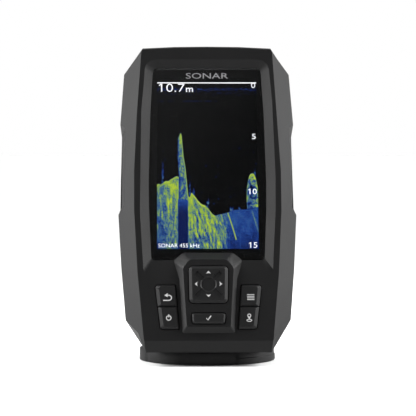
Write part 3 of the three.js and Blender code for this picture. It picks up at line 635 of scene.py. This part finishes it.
def sonar_picture():
    finish = Finish("sonar_picture")
    uv = finish.node("ShaderNodeUVMap", {"uv_map": "picture"})
    x = finish.node("ShaderNodeSeparateXYZ", None, {0: uv})
    y = Value(finish, x.socket.node.outputs[1])

    def echo(scale, stretch, detail=3.0, twist=0.0):
        """Noise with so many features across the picture, stretched in x and y."""
        placed = finish.node("ShaderNodeMapping", None, {"Vector": uv, "Scale": (*stretch, 1)})
        return finish.node("ShaderNodeTexNoise", None, {
            "Vector": placed, "Scale": scale, "Detail": detail, "Distortion": twist})

    def near(value, centre, width):
        """1 where the value is at the centre, 0 beyond the width."""
        off = value - centre
        return (off * off).ramp(width * width, 0.0)

    grit = echo(90, (1, 1.8), 2.0)
    ragged = (echo(45, (1, 0.6)) - 0.5) * 0.02
    bed = curve_of(finish, x, BED)
    below = y - bed + ragged * 0.6
    in_bed = below.ramp(0.0, 0.004)

    patches = echo(14, (1.5, 1.4), 4.0, 0.6)
    columns = echo(30, (1.7, 0.3), 3.0)
    swirls = echo(17, (1.2, 1.9), 2.5, 1.4)
    veins = 1 - (swirls - 0.5).maths("ABSOLUTE") * 9
    slanted = finish.node("ShaderNodeMapping", {"vector_type": "TEXTURE"}, {
        "Vector": uv, "Rotation": (0, 0, math.radians(59)), "Scale": (3.2, 0.8, 1)})
    streaks = finish.node("ShaderNodeTexNoise", None, {
        "Vector": slanted, "Scale": 38.0, "Detail": 3.5, "Distortion": 0.3})
    middle = x.ramp(0.30, 0.38) * x.ramp(0.72, 0.62)
    calm = x.ramp(0.74, 0.62) * 0.75 + 0.25
    deep = below.ramp(0.03, 0.16)
    body = curve_of(finish, x, BODY)
    crest = below.ramp(0.042, 0.006) * curve_of(finish, x, CREST)
    strength = (
        body * 0.62 + ((patches - 0.5) * 1.25 + (columns - 0.5) * deep * 1.3) * calm
        + (streaks - 0.5) * middle * 1.3 + (grit - 0.5) * 0.75 + 0.24
        - below.ramp(0.06, 0.34) * 0.24
    )
    strength = strength.either(veins * (body * 0.75 + 0.16) + (grit - 0.5) * 0.4)
    in_shadow = x.ramp(0.201, 0.213) * x.ramp(0.311, 0.300) * (y + ragged * 2).ramp(0.70, 0.714)
    waves = echo(12, (0.8, 7.0), 1.0, 0.8) * y.ramp(0.80, 0.71) * 0.35
    strength = strength * (1 - in_shadow) + in_shadow * ((grit - 0.5) * 0.3 + 0.13 + waves)
    strength = strength.either(crest * ((patches - 0.5) * 0.9 + 0.80) + (grit - 0.5) * 0.2)
    ridge = near(below, 0.008, 0.009) * (x > 0.338) * (x < 0.48)
    glint_path = (x - 0.676) - (y - 0.753) * 0.62 + (y - 0.753) * (y - 0.753) * 0.45
    glint = near(glint_path, 0, 0.010) * (y > 0.753) * (y < 0.948)
    faint = near((x - 0.94) - (y - 0.78) * 0.5, 0, 0.014) * (y > 0.775) * (y < 0.9) * grit
    strength = strength.either(ridge * 0.95).either(glint * 0.78).either(faint)

    left = curve_of(finish, y, TARGET_LEFT) + ragged * 0.35
    right = curve_of(finish, y, TARGET_RIGHT)
    in_target = (x - left).ramp(0, 0.006) * (right - x).ramp(0, 0.004) * (y > 0.303) * (y < 0.705)
    target = (
        (patches - 0.5) * 1.1 + (swirls - 0.5) * 0.7 + (grit - 0.5) * 0.8 + 0.53
        + y.ramp(0.42, 0.32) * 0.32 - (x - left).ramp(0.03, 0.0) * 0.2
        - y.ramp(0.52, 0.66) * 0.1
    ).either((right - x).ramp(0.022, 0.006) * ((grit - 0.5) * 0.6 + 0.72))

    mound_x, mound_y = (x - 0.945) * 17.0, (y - 0.70) * 6.7
    mound_r = mound_x * mound_x + mound_y * mound_y
    in_mound = (1 - mound_r - ragged * 8).ramp(0, 0.07) * (y < 0.768)
    mound = (
        (swirls - 0.5) * 1.3 + (patches - 0.5) * 0.9 + (grit - 0.5) * 0.7 + 0.30
        + mound_r.ramp(0.5, 1.0) * 0.26 + x.ramp(0.935, 0.975) * 0.1 + y.ramp(0.64, 0.57) * 0.28
    )

    def plume(centre, top, bottom, width):
        """A faint, broken column of echoes over the bed."""
        fade = y.ramp(top, bottom) * (y < bottom + 0.02)
        return near(x + ragged * 0.5, centre, width) * fade * (echo(60, (1, 1.2)) * 3 - 1.15)

    plumes = plume(0.056, 0.44, 0.60, 0.014)
    for centre, top, bottom, width in (
        (0.324, 0.55, 0.68, 0.010), (0.362, 0.63, 0.67, 0.014), (0.503, 0.69, 0.74, 0.017),
        (0.738, 0.744, 0.768, 0.022), (0.815, 0.748, 0.765, 0.016), (0.972, 0.49, 0.58, 0.012),
    ):
        plumes = plumes.either(plume(centre, top, bottom, width))

    over_bed = 1 - in_bed
    level = in_bed * strength.either(0.13) * (1 - in_target) + in_target * target.either(0.16)
    level = level.either(in_mound * mound * over_bed).either(plumes * 0.75 * over_bed)
    band = near(y, 0.044, 0.011) * (echo(44, (0.9, 3.4), 2.0) - 0.43) * 1.1
    specks = (y < 0.08) * (y > 0.03) * (echo(80, (1, 1.8), 1.0) > 0.66) * 0.17
    faint_line = near(y, 0.116, 0.002) * (x < 0.6) * (echo(30, (1, 1)) > 0.48) * 0.16
    dust = (echo(42, (1, 1.8), 0.0) > 0.80) * (y > 0.4) * over_bed * 0.2
    level = level.either(band).either(specks).either(faint_line).either(dust)

    colour = finish.colours(level, [
        (0.0, BLACK_GLASS), (0.07, BLACK_GLASS), (0.16, (0.004, 0.014, 0.10)),
        (0.32, (0.015, 0.062, 0.32)), (0.47, (0.045, 0.14, 0.26)), (0.58, (0.16, 0.30, 0.16)),
        (0.70, (0.29, 0.46, 0.055)), (0.95, (0.54, 0.68, 0.05)),
    ])
    return finish.surface({
        "Base Color": (0.001, 0.001, 0.001, 1),
        "Roughness": 0.5,
        "Specular IOR Level": 0.05,
        "Emission Color": colour,
        "Emission Strength": 1.0,
    })


PICTURE = sonar_picture()
print("picture nodes:", len(PICTURE.node_tree.nodes))

# %% [markdown]
# The picture lies just behind the lens, as it does on a bonded display, on a sheet of
# black border print. It has its own UV map, so the trace stays put when the unit tilts.

# %% The picture, its border and the lens
PICTURE_DEPTH = 1.70
PICTURE_RISE = 1.1


def picture_sheet():
    half = (PICTURE_HALF_WIDTH, PICTURE_HALF_HEIGHT)
    bm = bmesh.new()
    rectangle = [(-half[0], half[1] + PICTURE_RISE), (-half[0], -half[1] + PICTURE_RISE),
                 (half[0], -half[1] + PICTURE_RISE), (half[0], half[1] + PICTURE_RISE)]
    slab(bm, rectangle, PICTURE_DEPTH, PICTURE_DEPTH + 0.06)
    layer = bm.loops.layers.uv.new("picture")
    for face in bm.faces:
        for loop in face.loops:
            place = loop.vert.co
            loop[layer].uv = ((place.x + half[0]) / (2 * half[0]),
                              (half[1] + PICTURE_RISE - place.z) / (2 * half[1]))
    return from_bmesh("display_picture", bm, LEANING, 20)


dress(picture_sheet(), "head", PICTURE, "display")
border = merged_copy("lens_adhesive")
dress(border, "head", BLACK, "black_tape", "lens_adhesive")
rounded_piece("display_lens", 0.12, LENS, "lens", 2)

# %% [markdown]
# ## Words and figures
#
# The figures on the picture are generic readings: a depth, a scale and the sounder's
# frequency. The word over the display is plain and generic too. Text is turned into a
# mesh before it is placed.

# %% Text


CAPITAL = 0.70


def lettering(name, words, size, x, v, depth, align, wide, bold):
    """Text as a thin mesh; size is the height of a capital in millimetres."""
    curve = bpy.data.curves.new(name, "FONT")
    curve.body = words
    curve.size = size / CAPITAL
    curve.align_x = align
    curve.offset = bold
    curve.resolution_u = 3
    source = new_object(name + "_text", curve)
    graph = bpy.context.evaluated_depsgraph_get()
    mesh = bpy.data.meshes.new_from_object(source.evaluated_get(graph))
    bpy.data.objects.remove(source)
    bm = bmesh.new()
    bm.from_mesh(mesh)
    bmesh.ops.remove_doubles(bm, verts=bm.verts, dist=1e-5)
    for vertex in bm.verts:
        vertex.co = (vertex.co.x * wide + x, depth, vertex.co.y + v)
    grown = bmesh.ops.extrude_face_region(bm, geom=bm.faces[:])
    for item in grown["geom"]:
        if isinstance(item, bmesh.types.BMVert):
            item.co.y += SHEET
    return from_bmesh(name, bm, LEANING, 20)


def glowing(name, colour, strength):
    finish = Finish(name)
    shimmer = finish.noise(3000, detail=1)
    lit = finish.mix(shimmer, tuple(channel * 0.92 for channel in colour), colour)
    return finish.surface({
        "Base Color": lit, "Roughness": 0.5,
        "Emission Color": lit, "Emission Strength": strength,
    })


LIT_WHITE = glowing("lit_white", (0.95, 0.95, 0.97), 0.84)
READING_DEPTH = PICTURE_DEPTH - 0.04
SHEET = 0.03
# name, words, capital height, x, baseline height, alignment, width factor, boldness
READINGS = [
    ("depth_reading", "10.7", 4.9, -26.7, 43.2, "LEFT", 1.24, -0.06),
    ("depth_unit", "m", 3.8, -11.6, 43.1, "LEFT", 1.05, 0.04),
    ("scale_0", "0", 3.1, 26.5, 45.5, "RIGHT", 1.15, 0.02),
    ("scale_5", "5", 3.1, 26.5, 15.7, "RIGHT", 1.15, 0.02),
    ("scale_10", "10", 3.1, 26.5, -15.9, "RIGHT", 1.15, 0.02),
    ("scale_15", "15", 3.1, 26.5, -46.1, "RIGHT", 1.15, 0.02),
    ("frequency_line", "SONAR 455 kHz", 2.2, -26.4, -45.9, "LEFT", 1.0, 0.0),
]
for name, words, size, x, v, align, wide, bold in READINGS:
    reading = lettering(name, words, size, x, v, READING_DEPTH, align, wide, bold)
    dress(reading, "head", LIT_WHITE, "display")
    if words.startswith("1"):
        left = min(vertex.co.x for vertex in reading.data.vertices) / MM + 0.04
        flag = bmesh.new()
        slab(flag, [(left, v + size), (left - 0.24 * size, v + 0.81 * size),
                    (left - 0.24 * size, v + 0.69 * size), (left, v + 0.82 * size)],
             READING_DEPTH, READING_DEPTH + SHEET)
        dress(from_bmesh(name + "_flag", flag, LEANING), "head", LIT_WHITE, "display")
surface_line = bmesh.new()
slab(surface_line, [(-26.9, 48.15), (26.9, 48.15), (26.9, 48.75), (-26.9, 48.75)],
     READING_DEPTH, READING_DEPTH + SHEET)
dress(from_bmesh("surface_line", surface_line, LEANING), "head", LIT_WHITE, "display")
# The title is printed in the silver ink, which carries the same faint painted glow.
title = lettering("title_word", "SONAR", 3.3, 0, 50.5, -0.03, "CENTER", 1.48, 0.0)
dress(title, "head", SILVER_INK, "lens")

# %% [markdown]
# ## The base
#
# The base is a round foot turned about the swivel axis. Its wall is not the same all the
# way round: a front panel is set in a little between two upright seams, and past the
# right seam the upper half of the wall steps in. So the radius is a rule of the angle.

# %% The base's wall
base_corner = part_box("base_disc")[1] / MM
BASE_RADIUS, BASE_TOP = base_corner.x, base_corner.z
WELL_RADIUS, WELL_FLOOR = 27.2, 3.0
SWIVEL_HOLE, UNDERCUT = 2.3, 1.0
SEGMENTS = 144
LEFT_SEAM, RIGHT_SEAM = -62.5, 22.5
PANEL_INSET, STEP_INSET, SEAM_DEPTH = 0.22, 0.4, 0.35


def wall_insets(turn):
    """How far the wall is set in at its foot and its top, at degrees from the front."""
    if min(abs(turn - LEFT_SEAM), abs(turn - RIGHT_SEAM)) < 0.5:
        return PANEL_INSET + SEAM_DEPTH, PANEL_INSET + SEAM_DEPTH
    if LEFT_SEAM < turn < RIGHT_SEAM:
        return PANEL_INSET, PANEL_INSET
    return (0, STEP_INSET) if RIGHT_SEAM < turn < 150 else (0, 0)


def base_profile(turn):
    """The half section of the base at an angle, as (radius, height)."""
    low, high = wall_insets(turn)
    foot, top = BASE_RADIUS - low, BASE_RADIUS - high
    return [
        (0, 0), (foot - 0.5, 0), (foot - 0.15, 0.12), (foot, 0.45), (foot, 3.15),
        (top, 3.5), (top, BASE_TOP - 0.3), (top - 0.1, BASE_TOP - 0.08),
        (top - 0.35, BASE_TOP), (WELL_RADIUS, BASE_TOP), (WELL_RADIUS, WELL_FLOOR),
        (SWIVEL_HOLE, WELL_FLOOR), (SWIVEL_HOLE, UNDERCUT), (0, UNDERCUT),
    ]


bm = bmesh.new()
rings = []
for step in range(SEGMENTS):
    degrees = step * 360 / SEGMENTS
    turn = degrees if degrees <= 180 else degrees - 360
    angle = math.radians(degrees - 90)
    rings.append([
        bm.verts.new((r * math.cos(angle), r * math.sin(angle), z))
        for r, z in base_profile(turn)
    ])
for here, after in zip(rings, rings[1:] + rings[:1]):
    for k in range(len(here) - 1):
        bm.faces.new((here[k], after[k], after[k + 1], here[k + 1]))
bmesh.ops.remove_doubles(bm, verts=bm.verts, dist=WELD)
base = from_bmesh("base_foot", bm, UPRIGHT, 30)
HOLE_RING = 31.4
for degrees in (45, 135, 225, 315):
    angle = math.radians(degrees)
    place = Matrix.Translation((HOLE_RING * math.cos(angle), HOLE_RING * math.sin(angle), 0))
    countersink = [(0, -1), (2.1, -1), (2.1, 3.6), (4.2, BASE_TOP), (4.2, BASE_TOP + 1),
                   (0, BASE_TOP + 1)]
    cut_out(base, turned("screw_hole", countersink, 32, UPRIGHT, place))
shade(base.data, 30)
dress(base, "base", MOUNT, "mount_plastic", "base_disc")
print("base faces:", len(base.data.polygons))

# %% [markdown]
# ## The swivel, the cradle and the latch
#
# These are mouldings, so they get the same rounding as the shells. The bolt is steel with
# a hexagon head, and its edges are broken a little less.

# %% Mount pieces
rounded_piece("swivel_turntable", 0.35, MOUNT, "mount_plastic")
rounded_piece("tilt_cradle", 0.4, MOUNT, "mount_plastic")
rounded_piece("release_latch", 0.35, MOUNT, "mount_plastic")
rounded_piece("connector_socket", 0.3, HOUSING, "housing", 3)
rounded_piece("tilt_bolt", 0.3, STEEL, "steel")

# %% [markdown]
# ## What repeats: knob lobes, screws, pins and the spring
#
# Geometry Nodes suit these, because each one follows a rule with a few sizes. A small
# class builds a tree from Python, and every tree has named inputs, ends in Realize
# Instances and Set Material, and is turned into a plain mesh before it is used.

# %% A class for Geometry Nodes


class Growth:
    """One Geometry Nodes tree with named inputs."""

    def __init__(self, name):
        self.tree = bpy.data.node_groups.new(name, "GeometryNodeTree")
        self.tree.is_modifier = True
        self.given = self.tree.nodes.new("NodeGroupInput")

    def size(self, name, kind, default=None):
        socket = self.tree.interface.new_socket(name, in_out="INPUT", socket_type=kind)
        if default is not None:
            socket.default_value = default
        return self.given.outputs[name]

    def node(self, kind, settings=None, inputs=None, output=0):
        made = self.tree.nodes.new(kind)
        for key, setting in (settings or {}).items():
            setattr(made, key, setting)
        for key, given in (inputs or {}).items():
            if isinstance(given, bpy.types.NodeSocket):
                self.tree.links.new(given, made.inputs[key])
            else:
                made.inputs[key].default_value = given
        return made.outputs[output]

    def maths(self, operation, first, second):
        return self.node("ShaderNodeMath", {"operation": operation}, {0: first, 1: second})

    def end(self, geometry):
        """Realize Instances, Set Material and the output."""
        material = self.size("Material", "NodeSocketMaterial")
        real = self.node("GeometryNodeRealizeInstances", None, {"Geometry": geometry})
        finished = self.node(
            "GeometryNodeSetMaterial", None, {"Geometry": real, "Material": material})
        self.tree.interface.new_socket(
            "Geometry", in_out="OUTPUT", socket_type="NodeSocketGeometry")
        self.tree.links.new(finished, self.tree.nodes.new("NodeGroupOutput").inputs["Geometry"])
        return self.tree


def grow(name, tree, sizes, matrix, points=(), smooth=35):
    """Runs a tree with its sizes in millimetres and keeps the result as a plain mesh."""
    seed = bpy.data.meshes.new(name)
    seed.from_pydata(points, [], [])
    thing = new_object(name, seed)
    modifier = thing.modifiers.new(name, "NODES")
    modifier.node_group = tree
    for item in tree.interface.items_tree:
        if item.in_out == "INPUT" and item.name in sizes:
            modifier[item.identifier] = sizes[item.name]
    applied(thing)
    bm = bmesh.new()
    bm.from_mesh(thing.data)
    bmesh.ops.remove_doubles(bm, verts=bm.verts, dist=WELD)
    bmesh.ops.recalc_face_normals(bm, faces=bm.faces)
    bm.transform(matrix)
    bm.to_mesh(thing.data)
    bm.free()
    shade(thing.data, smooth)
    print(name, "has", len(thing.data.polygons), "faces")
    return thing


# %% The tilt knob


def lobed_tree():
    """A solid whose radius waves with the angle round its axis."""
    growth = Growth("lobed_knob")
    radius = growth.size("Radius", "NodeSocketFloat", 7.8)
    wave = growth.size("Wave", "NodeSocketFloat", 0.6)
    lobes = growth.size("Lobes", "NodeSocketFloat", 8)
    length = growth.size("Length", "NodeSocketFloat", 9)
    blank = growth.node("GeometryNodeMeshCylinder", {"fill_type": "NGON"}, {
        "Vertices": 160, "Side Segments": 1, "Radius": 1.0, "Depth": length})
    place = growth.node("GeometryNodeInputPosition")
    x = growth.node("ShaderNodeSeparateXYZ", None, {0: place})
    y = x.node.outputs[1]
    angle = growth.maths("MULTIPLY", growth.maths("ARCTAN2", y, x), lobes)
    ripple = growth.maths("MULTIPLY", growth.maths("COSINE", angle, 0.0), wave)
    reach = growth.maths("ADD", ripple, radius)
    wide = growth.node("ShaderNodeCombineXYZ", None, {0: reach, 1: reach, 2: 1.0})
    moved_to = growth.node("ShaderNodeVectorMath", {"operation": "MULTIPLY"}, {0: place, 1: wide})
    shaped = growth.node(
        "GeometryNodeSetPosition", None, {"Geometry": blank, "Position": moved_to})
    return growth.end(shaped)


knob_low, knob_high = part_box("tilt_knob")
knob_length = (knob_high.x - knob_low.x) / MM
knob_middle = (knob_low + knob_high) / 2
AXIS_TO_X = Matrix.Rotation(math.radians(90), 4, "Y")
knob_place = Matrix.Translation(knob_middle) @ UPRIGHT @ AXIS_TO_X
knob = grow("knob_grip", lobed_tree(), {"Length": knob_length, "Material": RUBBER}, knob_place)
BORE_RADIUS, DISH_DEPTH = 2.7, 0.7
outer_end = knob_length / 2
bore_end = outer_end - DISH_DEPTH - 1
bore = [(0, -knob_length), (BORE_RADIUS, -knob_length), (BORE_RADIUS, bore_end), (0, bore_end)]
cut_out(knob, turned("knob_bore", bore, 32, knob_place))
dish = [(0, outer_end - DISH_DEPTH), (4.9, outer_end - DISH_DEPTH),
        (5.6, outer_end + 0.5), (0, outer_end + 0.5)]
cut_out(knob, turned("knob_dish", dish, 48, knob_place))
soften(knob, 0.55, 3, 40)
dress(knob, "knob", RUBBER, "rubber", "tilt_knob")

# %% [markdown]
# A case screw is turned, then a six-pointed recess is cut in its head. One screw is
# drawn, and the tree sets it in the four wells, each turned by a different amount.

# %% Case screws


def screws_tree():
    growth = Growth("case_screws")
    points = growth.size("Points", "NodeSocketGeometry")
    screw = growth.size("Screw", "NodeSocketObject")
    seed = growth.size("Seed", "NodeSocketInt", 4)
    source = growth.node("GeometryNodeObjectInfo", None, {"Object": screw}, output="Geometry")
    turn = growth.node("FunctionNodeRandomValue", {"data_type": "FLOAT"}, {
        2: 0.0, 3: math.tau, "Seed": seed}, output=1)
    rotation = growth.node("ShaderNodeCombineXYZ", None, {1: turn})
    placed = growth.node("GeometryNodeInstanceOnPoints", None, {
        "Points": points, "Instance": source, "Rotation": rotation})
    return growth.end(placed)


DEPTH_AXIS = Matrix.Rotation(math.radians(-90), 4, "X")
thread = []
for ridge in range(15):
    thread += [(1.05, -3.2 - ridge), (1.3, -3.7 - ridge)]
head_section = [(0, 0), (1.9, 0), (2.6, -0.25), (3.0, -0.9), (3.0, -2.6), (1.2, -2.6)]
screw_section = [*head_section, *thread, (0, -18.6)]
screw = turned("one_screw", screw_section, 24, Matrix.Identity(4), DEPTH_AXIS, 30)
STAR_TIP, STAR_WAIST = 1.55, 1.12
star = []
for k in range(12):
    reach = STAR_TIP if k % 2 else STAR_WAIST
    star.append((reach * math.cos(math.pi * k / 6), reach * math.sin(math.pi * k / 6)))
bm = bmesh.new()
slab(bm, star, -1.3, 1.0)
cut_out(screw, from_bmesh("star_recess", bm, Matrix.Identity(4), 30))
HEAD_BACK = 27.8
wells = [(x, HEAD_BACK, v) for x, v in ((35.5, 45), (-35.5, 45), (33.5, -66), (-33.5, -66))]
case_screws = grow("case_screws", screws_tree(), {"Screw": screw, "Material": STEEL}, LEANING, wells)
bpy.data.objects.remove(screw)
dress(case_screws, "head", None, "steel", *(f"case_screw_{n}" for n in (1, 2, 3, 4)))

# %% [markdown]
# The contacts of the socket stand on a ring, and the latch spring is a wire swept along
# a spiral. Both trees take their sizes from named inputs.

# %% Contacts and spring


def ring_tree():
    growth = Growth("contacts_on_a_ring")
    count = growth.size("Count", "NodeSocketInt", 6)
    ring_radius = growth.size("Ring Radius", "NodeSocketFloat", 3.6)
    pin_radius = growth.size("Pin Radius", "NodeSocketFloat", 0.6)
    pin_length = growth.size("Pin Length", "NodeSocketFloat", 5.0)
    round_ring = growth.node("GeometryNodeMeshCircle", None, {
        "Vertices": count, "Radius": ring_radius})
    pin = growth.node("GeometryNodeMeshCylinder", None, {
        "Vertices": 20, "Radius": pin_radius, "Depth": pin_length})
    tip = growth.node("GeometryNodeMeshUVSphere", None, {
        "Segments": 20, "Rings": 10, "Radius": pin_radius})
    lift = growth.node("ShaderNodeCombineXYZ", None, {
        2: growth.maths("MULTIPLY", pin_length, 0.5)})
    raised = growth.node("GeometryNodeTransform", None, {"Geometry": tip, "Translation": lift})
    whole = growth.tree.nodes.new("GeometryNodeJoinGeometry")
    growth.tree.links.new(pin, whole.inputs[0])
    growth.tree.links.new(raised, whole.inputs[0])
    placed = growth.node("GeometryNodeInstanceOnPoints", None, {
        "Points": round_ring, "Instance": whole.outputs[0]})
    return growth.end(placed)


def spring_tree():
    growth = Growth("wire_spring")
    turns = growth.size("Turns", "NodeSocketFloat", 5.0)
    coil_radius = growth.size("Coil Radius", "NodeSocketFloat", 2.3)
    length = growth.size("Length", "NodeSocketFloat", 5.8)
    wire = growth.size("Wire Radius", "NodeSocketFloat", 0.35)
    path = growth.node("GeometryNodeCurveSpiral", None, {
        "Resolution": 28, "Rotations": turns, "Start Radius": coil_radius,
        "End Radius": coil_radius, "Height": length})
    section = growth.node("GeometryNodeCurvePrimitiveCircle", None, {
        "Resolution": 12, "Radius": wire})
    swept = growth.node("GeometryNodeCurveToMesh", None, {
        "Curve": path, "Profile Curve": section, "Fill Caps": True})
    return growth.end(swept)


SOCKET_AT = (0, 6)
pins_place = LEANING @ Matrix.Translation((SOCKET_AT[0], 43.9, SOCKET_AT[1])) @ DEPTH_AXIS
pins = grow("contact_pins", ring_tree(), {"Material": GOLD}, pins_place)
dress(pins, "head", None, "brass", "connector_insert")
carrier_place = Matrix.Translation((SOCKET_AT[0], 0, SOCKET_AT[1])) @ DEPTH_AXIS
carrier = [(0, 41.3), (6.4, 41.3), (6.4, 42.7), (6.1, 43), (5.2, 43), (5.2, 42.6), (0, 42.6)]
dress(turned("contact_carrier", carrier, 48, LEANING, carrier_place), "head", RUBBER, "rubber")
pin_low, pin_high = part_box("latch_pin")
spring_place = Matrix.Translation((pin_low + pin_high) / 2) @ UPRIGHT @ AXIS_TO_X
spring = grow("latch_coil", spring_tree(), {"Material": STEEL},
              spring_place @ Matrix.Translation((0, 0, -2.9)))
dress(spring, "cradle", None, "steel", "latch_spring")

# %% [markdown]
# ## Pieces that keep their CAD shape
#
# What is left is small or inside the case. Each node only needs its finish.

# %% Finishes for the carried-over nodes
BY_SLOT = {
    "steel": STEEL, "brass": GOLD, "board": BOARD, "flex": FLEX, "rubber": RUBBER,
    "ceramic": CERAMIC, "backlight": LIGHT_GUIDE, "display": BLACK, "black_tape": BLACK,
    "housing": HOUSING, "keys": KEYS, "mount_plastic": MOUNT, "lens": LENS,
}
for subpart in frame["record"]["subparts"]:
    node = frame["nodes"][subpart["node"]]
    for slot in node.material_slots:
        slot.material = BY_SLOT[subpart["material_slot"]]

# %% [markdown]
# ## Stage, light and camera
#
# A pale floor runs to the horizon under two soft washes of light, one from each side, so
# that only the contact shadow shows on it. They stay off the centre line, because facets
# that face upwards would mirror an overhead light. Softboxes lift the flank bevels. The
# floor has a greyer patch in front, which still renders white but bounces less light up.

# %% Floor
FLOOR_REACH, FLOOR_GAP = 40, 0.0002
bm = bmesh.new()
slab(bm, [(-FLOOR_REACH, -FLOOR_REACH), (FLOOR_REACH, -FLOOR_REACH),
          (FLOOR_REACH, FLOOR_REACH), (-FLOOR_REACH, FLOOR_REACH)], 0, 0.5)
bm.transform(Matrix.Rotation(math.radians(-90), 4, "X"))
floor = from_bmesh("studio_floor", bm, Matrix.Translation((0, 0, -FLOOR_GAP)), 60)
floor_finish = Finish("pale_floor")
speckle = floor_finish.noise(40, detail=2)
east = floor_finish.node("ShaderNodeSeparateXYZ", None, {0: floor_finish.coordinates})
north = Value(floor_finish, east.socket.node.outputs[1])
PATCH_AHEAD = 0.2
ahead = north + PATCH_AHEAD
grey_patch = (east * east * 0.5 + ahead * ahead).ramp(0.026, 0.016) * 0.97 + speckle * 0.03
floor.data.materials.append(floor_finish.surface({
    "Base Color": floor_finish.mix(grey_patch, (0.88, 0.88, 0.88), (0.58, 0.58, 0.58)),
    "Roughness": 0.7,
    "Specular IOR Level": 0.2,
}))
print("floor top at", round(max(v.co.z for v in floor.data.vertices), 5))

# %% [markdown]
# The sky is a light tent of its own: bright walls at both sides for the flank bevels, a
# white backdrop behind, and a dim front and top, so that the face and the lens stay dark.
# The walls start a little above the horizon.
# The front dims downwards, which gives the lens its slow gradient.

# %% World
scene = bpy.context.scene
scene.view_settings.view_transform = "Standard"
world = bpy.data.worlds.new("studio")
scene.world = world
world.use_nodes = True


class Sky(Finish):
    """The same node helper for the world's tree."""

    def __init__(self, tree):
        self.tree = tree
        tree.nodes.clear()
        self.coordinates = tree.nodes.new("ShaderNodeTexCoord").outputs["Generated"]


sky = Sky(world.node_tree)
across = sky.node("ShaderNodeSeparateXYZ", None, {0: sky.coordinates})
along = Value(sky, across.socket.node.outputs[1])
upward = Value(sky, across.socket.node.outputs[2])
side = across.maths("ABSOLUTE")
walls = side.ramp(0.6, 0.95) * along.ramp(0.7, 0.2) * upward.ramp(0.02, 0.22) * 0.85
backdrop = along.ramp(0.90, 0.97)
front = (upward * 2.0 - across * 2.0 - 1.235).maths("MAXIMUM", 0.01).maths("MINIMUM", 0.2)
sky_level = (front * along.ramp(0.1, -0.3)).either(0.04).either(walls).either(backdrop)
glow = sky.node("ShaderNodeBackground", None, {"Color": sky_level, "Strength": 1.0})
world_output = sky.tree.nodes.new("ShaderNodeOutputWorld")
sky.tree.links.new(glow.socket, world_output.inputs["Surface"])

# %% Lights


def aimed(name, lamp, place, target):
    """A light at a place, turned to a point."""
    holder = bpy.data.objects.new(name, lamp)
    scene.collection.objects.link(holder)
    holder.location = place
    holder.rotation_mode = "QUATERNION"
    holder.rotation_quaternion = (Vector(target) - Vector(place)).to_track_quat("-Z", "Y")


OBJECT_MIDDLE = (0, 0, 0.085)
for name, reach, power in (("left_softbox", -0.9, 15.2), ("right_softbox", 0.9, 14.4)):
    softbox = bpy.data.lights.new(name, "AREA")
    softbox.size = 0.8
    softbox.energy = power
    aimed(name, softbox, (reach, -0.02, 0.48), OBJECT_MIDDLE)
for name, reach in (("left_wash", -0.66), ("right_wash", 0.66)):
    wash = bpy.data.lights.new(name, "SUN")
    wash.angle = math.radians(46)
    wash.energy = 2.2
    aimed(name, wash, (reach, 0.12, 0.75), (0, 0, 0))
print("lights:", [light.name for light in bpy.data.lights])

# %% Camera
TURN = math.radians(1.1)
DROP = math.radians(1.7)
SIGHT = Vector((math.sin(TURN) * math.cos(DROP), math.cos(TURN) * math.cos(DROP), -math.sin(DROP)))
camera_data = bpy.data.cameras.new("camera")
camera_data.sensor_width = 36
camera_data.lens = 190.9
camera = bpy.data.objects.new("camera", camera_data)
scene.collection.objects.link(camera)
AIM = Vector((0.0004, 0, 0.0813))
DISTANCE = 1.187
camera.location = AIM - SIGHT * DISTANCE
camera.rotation_mode = "QUATERNION"
camera.rotation_quaternion = SIGHT.to_track_quat("-Z", "Y")
camera_data.clip_start, camera_data.clip_end = 0.05, 20
scene.camera = camera
print("camera at", [round(c, 4) for c in camera.location])
